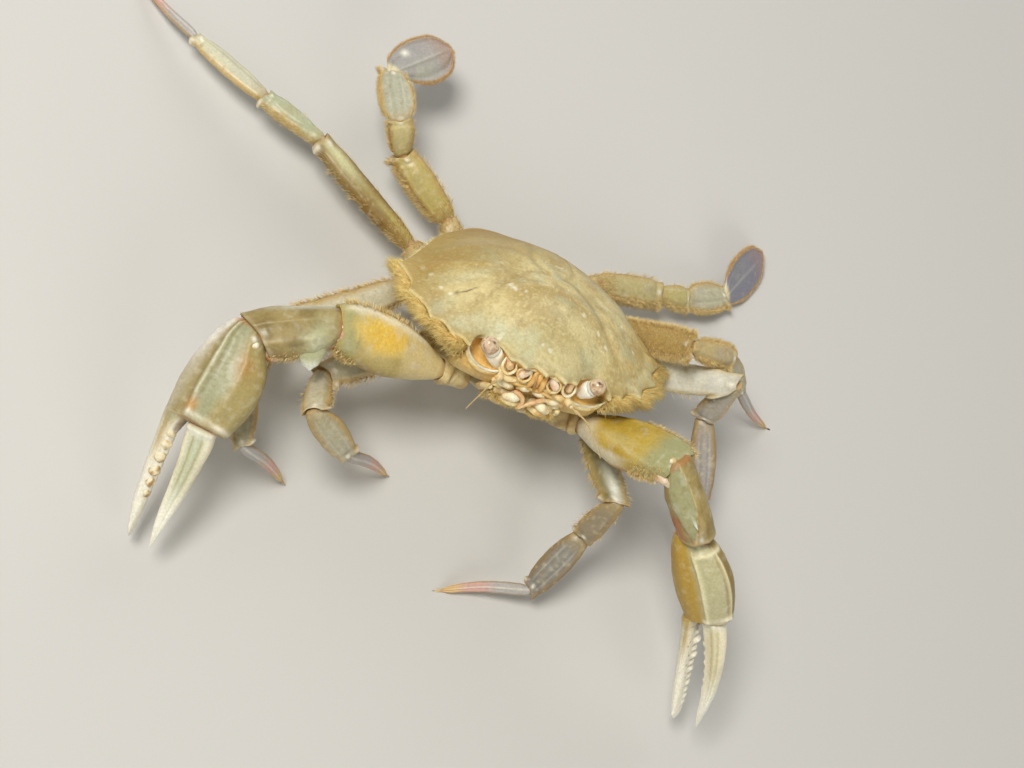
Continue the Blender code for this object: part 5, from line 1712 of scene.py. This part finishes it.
MOUTH_WALL = [
    ([(5.2, -3.4), (4.3, -3.05), (3.2, -3.05), (2.6, -3.3)], 0.3, (0.4, 0.7, 0.7, 0.4), 50, 32, PEARL, 9),
    ([(5.0, -4.1), (4.2, -4.0), (3.2, -4.2)], 0.5, (0.3, 0.5, 0.34), 40, 28, PEARL, 26),
    ([(5.4, -2.55), (3.8, -2.15), (2.4, -2.25)], 0.25, (0.2, 0.3, 0.22), 40, 24, TAWNY, 10),
    ([(0.5, -2.5), (1.3, -2.4), (1.9, -2.7)], 0.4, (0.34, 0.56, 0.36), 30, 24, PEARL, 11),
]
MOUTH = [
    ([(1.2, -16.5, -3.5), (2.2, -16.9, -3.7), (3.2, -16.6, -4.2)], (0.45, 0.66, 0.45), 40, 28, PEARL, 12),
    ([(0.9, -16.4, -4.7), (2.1, -16.6, -4.8), (3.4, -16.0, -5.1)], (0.4, 0.6, 0.4), 40, 28, PALE, 27),
]
PALP = {
    "right": [(2.2, -16.7, -2.9), (1.3, -17.1, -3.0), (0.8, -17.3, -3.8), (1.0, -17.2, -5.0)],
    "left": [(1.9, -16.7, -2.6), (0.9, -17.2, -2.9), (-0.1, -17.5, -3.6), (-0.9, -17.6, -4.6)],
}
OUTER_PLATE = (
    [(5.2, -10.4, -8.2), (5.6, -13.0, -6.2), (5.3, -15.0, -4.6)], (0.5, 0.62, 0.42), 40, 24, OUTER_TONES, 14,
)
SEPTUM = (
    [(0, -15.4, 1.1), (0, -16.0, 0.2), (0, -16.0, -1.0), (0, -15.8, -2.0)], (0.3, 0.42, 0.42, 0.3), 30, 22,
    TAWNY, 15,
)
FEATHER = (
    [(-0.7, -15.9, 0.9), (-0.55, -16.4, 0.0), (-0.3, -16.5, -1.0), (0.1, -16.4, -2.0)],
    (0.1, 0.2, 0.22, 0.12), 40, 18, FEATHER_TONES, 8,
)
MOUTH_FRAME = [(-1.35, 4.4, 0.34, PALE), (-1.95, 4.0, 0.36, TAWNY)]  # heights, half lengths, radii and tones


def build_face():
    """The parts between and below the eyes: orbit rims, folded antennules, mouth frame and palps."""
    skin = SURFACES["carapace"]["body"][TOP_ROWS:]
    front = skin[(skin[..., 1] < -6) & (skin[..., 2] < 1.0)]

    def rod(sign, points, *form):
        return face_piece([(sign * x, y, z) for x, y, z in points], *form)

    def bar(sign, points, proud, *form):
        line = []
        for x, z in points:
            near = np.argmin((front[:, 0] - sign * x) ** 2 + (front[:, 2] - z) ** 2)
            line.append((sign * x, front[near, 1] - proud, z))
        return face_piece(line, *form)

    for side in ("right", "left"):
        sign = side_sign(side)
        rim = [(x, FACE_BULGE[1] * x * x - FACE_BULGE[0] - 0.15, z) for x, z in ORBIT_RIM[side]]
        below = [(x, y + 0.25, z - 0.35) for x, y, z in rim[1:-1]]
        orbit = [
            (rim, (0.1, *(0.17,) * 5, 0.1), 90, 24, RIM_TONES, 1),
            (below, (0.3, 0.46, 0.5, 0.46, 0.3), 70, 24, PALE, 2),
        ]
        palp = (PALP[side], (0.34, 0.34, 0.3, 0.16), 60, 22, ROSY, 13)
        wall = [bar(sign, *row) for row in MOUTH_WALL]
        make_grid(f"orbit_rim_{side}", [rod(sign, *row) for row in orbit], "mouthparts", "mouthparts")
        make_grid(f"antennule_{side}", [rod(sign, *row) for row in ANTENNULE], "mouthparts", "mouthparts")
        parts = wall + [rod(sign, *row) for row in (*MOUTH, palp, OUTER_PLATE)]
        make_grid(f"palp_{side}", parts, "mouthparts", "mouthparts")
    parts = [rod(1, *SEPTUM), rod(1, *FEATHER)]
    for height, reach, radius, tones in MOUTH_FRAME:
        line = [(x, height - 0.02 * x * x) for x in np.linspace(-reach, reach, 9)]
        parts.append(bar(1, line, 0.35, (radius / 2, *(radius,) * 7, radius / 2), 80, 20, tones, 16))
    make_grid("mouth_frame", parts, "mouthparts", "mouthparts")


# Bristles
TILE = 0.003  # size of a bristle's patch on its map
TILE_EDGE = 0.03
SPREAD = 0.22  # how far bristles stray from their flow
LEAST_RISE = 0.12  # of a bristle out of its skin
ROOT_DEPTH = 0.25  # of a bristle in its skin
FLOOR_GAP = 0.02
MIDDLE_SCALE = 0.72  # radius at the middle of a bristle, as a share of the root's
# painted shade at the roots of each bristle and painted light at its tip
SHADES = np.array((0.92, 0.92, 0.92, 1.0, 1.0, 1.0, 1.06))  # from the root's corners to the tip
# partly the bristles' own straw tones, partly painted light: made lighter to lift the shade among them
HAIR = (srgb(230, 196, 124), srgb(252, 230, 172))  # darkest and lightest tone of the bristles
PADDLE_HAIR = (srgb(206, 166, 112), srgb(240, 214, 166))
# under the mouth: warmer and lighter, as painted light against the cool shade there
CHIN_HAIR = (srgb(246, 206, 126), srgb(255, 230, 158))
# fringe and cheeks: lighter, as painted light against the shade under the rim
FRINGE_HAIR = (srgb(238, 200, 120), srgb(255, 232, 160))
CHEEK_HAIR = (srgb(230, 202, 140), srgb(252, 238, 192))


def strands(roots, ways, falls, lengths, radii, tone, rng):
    """Three-sided tapering bristles: points (n, 7, 3), and their colours."""
    n = len(roots)
    helper = rng.normal(size=(n, 3))
    a = unit(np.cross(ways, helper))
    b = np.cross(ways, a)
    middle = roots + ways * (0.55 * lengths)[:, None] + falls * (0.16 * lengths)[:, None]
    tip = roots + ways * lengths[:, None] * 0.92 + falls * (0.55 * lengths)[:, None]
    base = roots - ways * ROOT_DEPTH
    rings = []
    for centre, scale in ((base, 1.0), (middle, MIDDLE_SCALE)):
        for k in range(3):
            turn = 2 * math.pi * k / 3
            rings.append(centre + (a * math.cos(turn) + b * math.sin(turn)) * (radii * scale)[:, None])
    points = np.stack([*rings, tip], 1)
    # the colours carry painted shade at the roots and painted light at the tips
    return points, tone[:, None] * SHADES[None, :, None]


STRAND_QUADS = np.array(((0, 1, 4, 3), (1, 2, 5, 4), (2, 0, 3, 5)))
STRAND_TRIANGLES = np.array(((3, 4, 6), (4, 5, 6), (5, 3, 6), (0, 2, 1)))


def coat(name, slot, beds):
    """A mesh of bristles from beds: (surface, weight, count, length, radius, flow, tones)."""
    rng = np.random.default_rng(len(name) * 1009 + sum(map(ord, name)))
    all_points, all_tones, all_uv = [], [], []
    tiles = math.ceil(math.sqrt(len(beds)))
    for k, (surface, weight, count, length, radius, flow, tones) in enumerate(beds):
        grid = surface["points"]
        across_way = np.roll(grid, -1, 1) - grid
        down_way = grid[1:] - grid[:-1]
        area = np.linalg.norm(np.cross(across_way[:-1], down_way), axis=-1)
        chance = (weight[:-1] * area).ravel()
        pick = rng.choice(len(chance), count, p=chance / chance.sum())
        r, c = np.unravel_index(pick, area.shape)
        u, v = rng.random(count), rng.random(count)
        roots = grid[r, c] + across_way[r, c] * u[:, None] + down_way[r, c] * v[:, None]
        normal = surface["out"][r, c]
        way = unit(flow(surface, r, c, normal) + SPREAD * rng.normal(size=(count, 3)))
        rise = np.sum(way * normal, 1)
        way = unit(way + normal * np.maximum(0, LEAST_RISE - rise)[:, None] * 1.5)
        droop = unit(np.array((0.0, 0.0, -0.2)) + 0.5 * rng.normal(size=(count, 3))) * 0.4
        long = length * (0.55 + 0.6 * rng.random(count)) * (0.6 + 0.4 * np.clip(weight[r, c], 0, 1))
        thick = radius * (0.75 + 0.5 * rng.random(count))
        share = rng.random(count)[:, None]
        tone = (tones[0] * (1 - share) + tones[1] * share) * (0.75 + 0.5 * rng.random((count, 1)))
        points, colour = strands(roots, way, droop, long, thick, tone, rng)
        points[..., 2] = np.maximum(points[..., 2], FLOOR_GAP)
        all_points.append(points)
        all_tones.append(colour)
        spot_u = ((k % tiles) + TILE_EDGE + (1 - 2 * TILE_EDGE) * (c + u) / grid.shape[1]) / tiles
        spot_v = ((k // tiles) + TILE_EDGE + (1 - 2 * TILE_EDGE) * (r + v) / grid.shape[0]) / tiles
        turn = 2 * np.pi * np.arange(3) / 3
        du = np.concatenate([np.cos(turn) * 0.4, np.cos(turn) * 0.3, [0.0]]) * TILE
        dv = np.concatenate([np.sin(turn) * 0.4, np.sin(turn) * 0.3, [0.5]]) * TILE
        all_uv.append(np.stack([spot_u[:, None] + du, spot_v[:, None] + dv], -1))
    points, tones, uv = (np.concatenate(x) for x in (all_points, all_tones, all_uv))
    n = len(points)
    first = 7 * np.arange(n)[:, None, None]
    quads = (first + STRAND_QUADS).reshape(-1, 4)
    triangles = (first + STRAND_TRIANGLES).reshape(-1, 3)
    obj = make(
        name, points.reshape(-1, 3), [quads, triangles], np.clip(tones, 0, 1).reshape(-1, 3), "bristle", slot,
    )
    layer = obj.data.uv_layers.new(name="OFBake")
    loops = np.empty(len(obj.data.loops), np.int64)
    obj.data.loops.foreach_get("vertex_index", loops)
    layer.data.foreach_set("uv", uv.reshape(-1, 2)[loops].astype(np.float32).ravel())
    return obj


def outward(lift, along):
    """Growth out of the skin, leaning along the limb."""

    def flow(surface, r, c, normal):
        return normal * lift + surface["along"] * along

    return flow


def band(surface, t0, t1, c0, c_width):
    """Weight of a band on a limb: from t0 to t1 along it and round c0 across it."""
    t, c = surface["t"], surface["c"]
    return ramp(t0 - 0.03, t0 + 0.03, t) * fall(t1 - 0.03, t1 + 0.03, t) * bell(c, c0, c_width)


def strip(surface, span, c0, c_width, count, length, radius, lean=0.9, tones=HAIR, lift=1):
    """A bed of bristles on a band of a limb."""
    return surface, band(surface, *span, c0, c_width), count, length, radius, outward(lift, lean), tones


def carapace_beds(side):
    """The long fringe under the side teeth, and the short bristles below it and along the rear."""
    surface = SURFACES["carapace"]
    body, share = surface["body"], surface["share"]
    x, y = body[..., 0], body[..., 1]
    here = ramp(0.0, 0.5, x * side_sign(side))
    flank = here * ramp(10.4, 11.4, np.abs(x)) * ramp(-14.5, -13.0, y) * fall(-0.6, 1.2, y)
    fringe = flank * ramp(1.0, 1.02, share) * fall(1.14, 1.3, share)
    fade = bell(share, 1.0, 0.45)
    cheeks = here * ramp(1.04, 1.1, share) * fall(-3.0, 1.0, y) * fade * ramp(11.0, 13.0, np.abs(x))
    rear = here * ramp(1.0, 1.02, share) * fall(1.06, 1.14, share) * ramp(-1.0, 3.0, y)

    def away(surface, r, c, normal):
        radial = unit(body[r, c] * (1, 1, 0)) @ TURN.T
        return unit(radial + 0.15 * normal + 0.2 * np.array((0, SIN, COS)))

    low = [
        (surface, cheeks, 3500, 0.8, 0.05, away, CHEEK_HAIR),
        (surface, rear, 6500, 1.2, 0.04, away, CHEEK_HAIR),
    ]
    return {"fringe": [(surface, fringe, 17500, 3.0, 0.05, away, FRINGE_HAIR)], "bristles": low}


FUZZ = {  # how hairy each leg is
    ("right", 2): 0.12, ("right", 3): 0.35, ("right", 4): 0.06, ("right", 5): 0.9,
    ("left", 2): 0.1, ("left", 3): 0.02, ("left", 4): 1.8, ("left", 5): 1.1,
}


ARM_HAIR = {  # on the lower and the upper edge of the arm: start and end along it, and how many
    "right": ((0.8, 1.0, 260), (0.3, 0.95, 240)),
    "left": ((0.7, 0.95, 300), (0.5, 1.0, 620)),
}


def leg_beds(side, limb):
    """Where bristles grow on a walking or swimming leg."""
    merus, carpus, propodus, dactylus = (SURFACES[f"{NAMES[limb]}_{kind}_{side}"] for kind in SEGMENTS[1:])
    beds = []
    if limb > 3:
        base = SURFACES[f"{NAMES[limb]}_base_{side}"]
        beds.append((base, np.ones(base["t"].shape), 900, 0.7, 0.032, outward(1, 0.5), HAIR))
        beds.append(strip(merus, (0.0, 0.2), 0.0, 1.5, 600, 0.6, 0.03, lift=0.8))
    if (side, limb) == ("left", 4):
        face = ramp(-0.3, 0.2, merus["f"]) * (0.7 + 0.3 * noise(merus["points"], 2.0, 281, 2))
        beds.append((merus, face, 5200, 0.6, 0.035, outward(0.7, 1.0), HAIR))
    for sign, amount in ((1.0, 1.0), (-1.0, 0.06 if limb == 5 else 0.8)):
        beds.append(strip(merus, (0.05, 0.96), sign, 0.14, int(1500 * FUZZ[side, limb] * amount), 1.3, 0.04))
        beds.append(strip(carpus, (0.1, 0.95), sign, 0.16, int(500 * FUZZ[side, limb] * amount), 0.9, 0.035))
        if limb == 5:
            beds.append(strip(dactylus, (0.1, 0.99), sign, 0.05, 1300, 0.5, 0.026, 0.75, PADDLE_HAIR))
            beds.append(strip(propodus, (0.06, 0.98), sign, 0.08, int(800 * (0.2 + amount)), 0.9, 0.032))
    return beds


def build_bristles():
    for side in ("right", "left"):
        for kind, beds in carapace_beds(side).items():
            coat(f"carapace_{kind}_{side}", "carapace", beds)
        arm, wrist = SURFACES[f"cheliped_merus_{side}"], SURFACES[f"cheliped_carpus_{side}"]
        low, high = ARM_HAIR[side]
        beds = [
            strip(arm, low[:2], 1.0, 0.14, low[2], 1.0, 0.05, 0.7),
            strip(arm, high[:2], -1.0, 0.12, high[2], 1.3, 0.05, 0.5),
        ]
        if side == "right":
            beds.append(strip(wrist, (0.5, 0.95), 1.0, 0.16, 160, 0.8, 0.045, 0.6))
        coat(f"claw_bristles_{side}", "claw", beds)
        for limb in (2, 3, 4, 5):
            coat(f"{NAMES[limb]}_bristles_{side}", "paddle" if limb == 5 else "leg", leg_beds(side, limb))
        mouth = SURFACES[f"maxilliped_{side}"]
        chin = ramp(0.2, 0.8, mouth["f"]) * ramp(0.72, 0.85, mouth["t"])
        beds = [
            strip(mouth, (0.2, 1.0), -1.0, 0.3, 700, 0.8, 0.032, 0.5),
            strip(mouth, (0.0, 0.9), 1.0, 0.3, 500, 0.8, 0.035, 0.5),
            (mouth, chin, 900, 1.2, 0.03, outward(1, 0.4), CHIN_HAIR),
        ]
        coat(f"mouth_bristles_{side}", "mouthparts", beds)


# Floor, light and camera
def area_light(name, spot, size, power, tone):
    data = bpy.data.lights.new(name, "AREA")
    data.shape = "DISK"
    data.size = size
    data.energy = power
    data.color = tone
    light = bpy.data.objects.new(name, data)
    light.location = spot
    light.rotation_euler = (Vector(LIT_SPOT) - Vector(spot)).to_track_quat("-Z", "Y").to_euler()
    bpy.context.scene.collection.objects.link(light)


LIGHTS = [  # name, place, size, power and tone
    ("key", (-0.22, -0.02, 0.42), 0.18, 1.75, (1.0, 0.97, 0.92)),
    ("fill", (0.30, -0.40, 0.30), 0.35, 0.75, (1.0, 0.98, 0.93)),
    ("back", (0.10, 0.42, 0.30), 0.30, 0.5, (1.0, 1.0, 1.0)),
]
LIT_SPOT = (0, 0, 0.015)
FLOOR_REACH = 3
CAMERA_SPOT = (-70.97, -192.17, 112.67)
CAMERA_AXES = np.array(((0.8886, -0.0445, 0.4565), (0.3407, -0.6024, -0.7218), (0.3072, 0.7969, -0.5201)))


def build_floor():
    mesh = bpy.data.meshes.new("floor")
    corners = [(x * FLOOR_REACH, y * FLOOR_REACH, 0) for x, y in ((-1, -1), (1, -1), (1, 1), (-1, 1))]
    mesh.from_pydata(corners, [], [(0, 1, 2, 3)])
    mat = bpy.data.materials.new("floor")
    mat.use_nodes = True
    set_inputs(
        mat.node_tree.nodes["Principled BSDF"], {"Base Color": (0.62, 0.61, 0.58, 1), "Roughness": 0.85},
    )
    mesh.materials.append(mat)
    floor = bpy.data.objects.new("floor", mesh)
    bpy.context.scene.collection.objects.link(floor)


def build_room():
    """The lights, the pale surroundings, and the camera at the photograph's viewing angle."""
    scene = bpy.context.scene
    for row in LIGHTS:
        area_light(*row)
    world = bpy.data.worlds.new("room")
    world.use_nodes = True
    set_inputs(world.node_tree.nodes["Background"], {"Color": (0.84, 0.83, 0.80, 1), "Strength": 0.28})
    scene.world = world
    scene.view_settings.view_transform = "Standard"
    camera = bpy.data.cameras.new("camera")
    camera.lens, camera.sensor_width = 56.25, 36.0
    camera.clip_start, camera.clip_end = 0.005, 20.0
    holder = bpy.data.objects.new("camera", camera)
    right, down, ahead = CAMERA_AXES @ TURN.T
    spot = place(CAMERA_SPOT) * MM
    columns = np.stack([right, -down, -ahead], 1)
    holder.matrix_world = Matrix([[*row, spot[k]] for k, row in enumerate(columns)] + [[0, 0, 0, 1]])
    scene.collection.objects.link(holder)
    scene.camera = holder


build_legs()
build_claws()
build_carapace()
build_sternum()
build_abdomen()
for side in ("right", "left"):
    build_eye(side)
    build_feeler(side)
    build_maxilliped(side)
build_face()
build_bristles()
build_floor()
build_room()
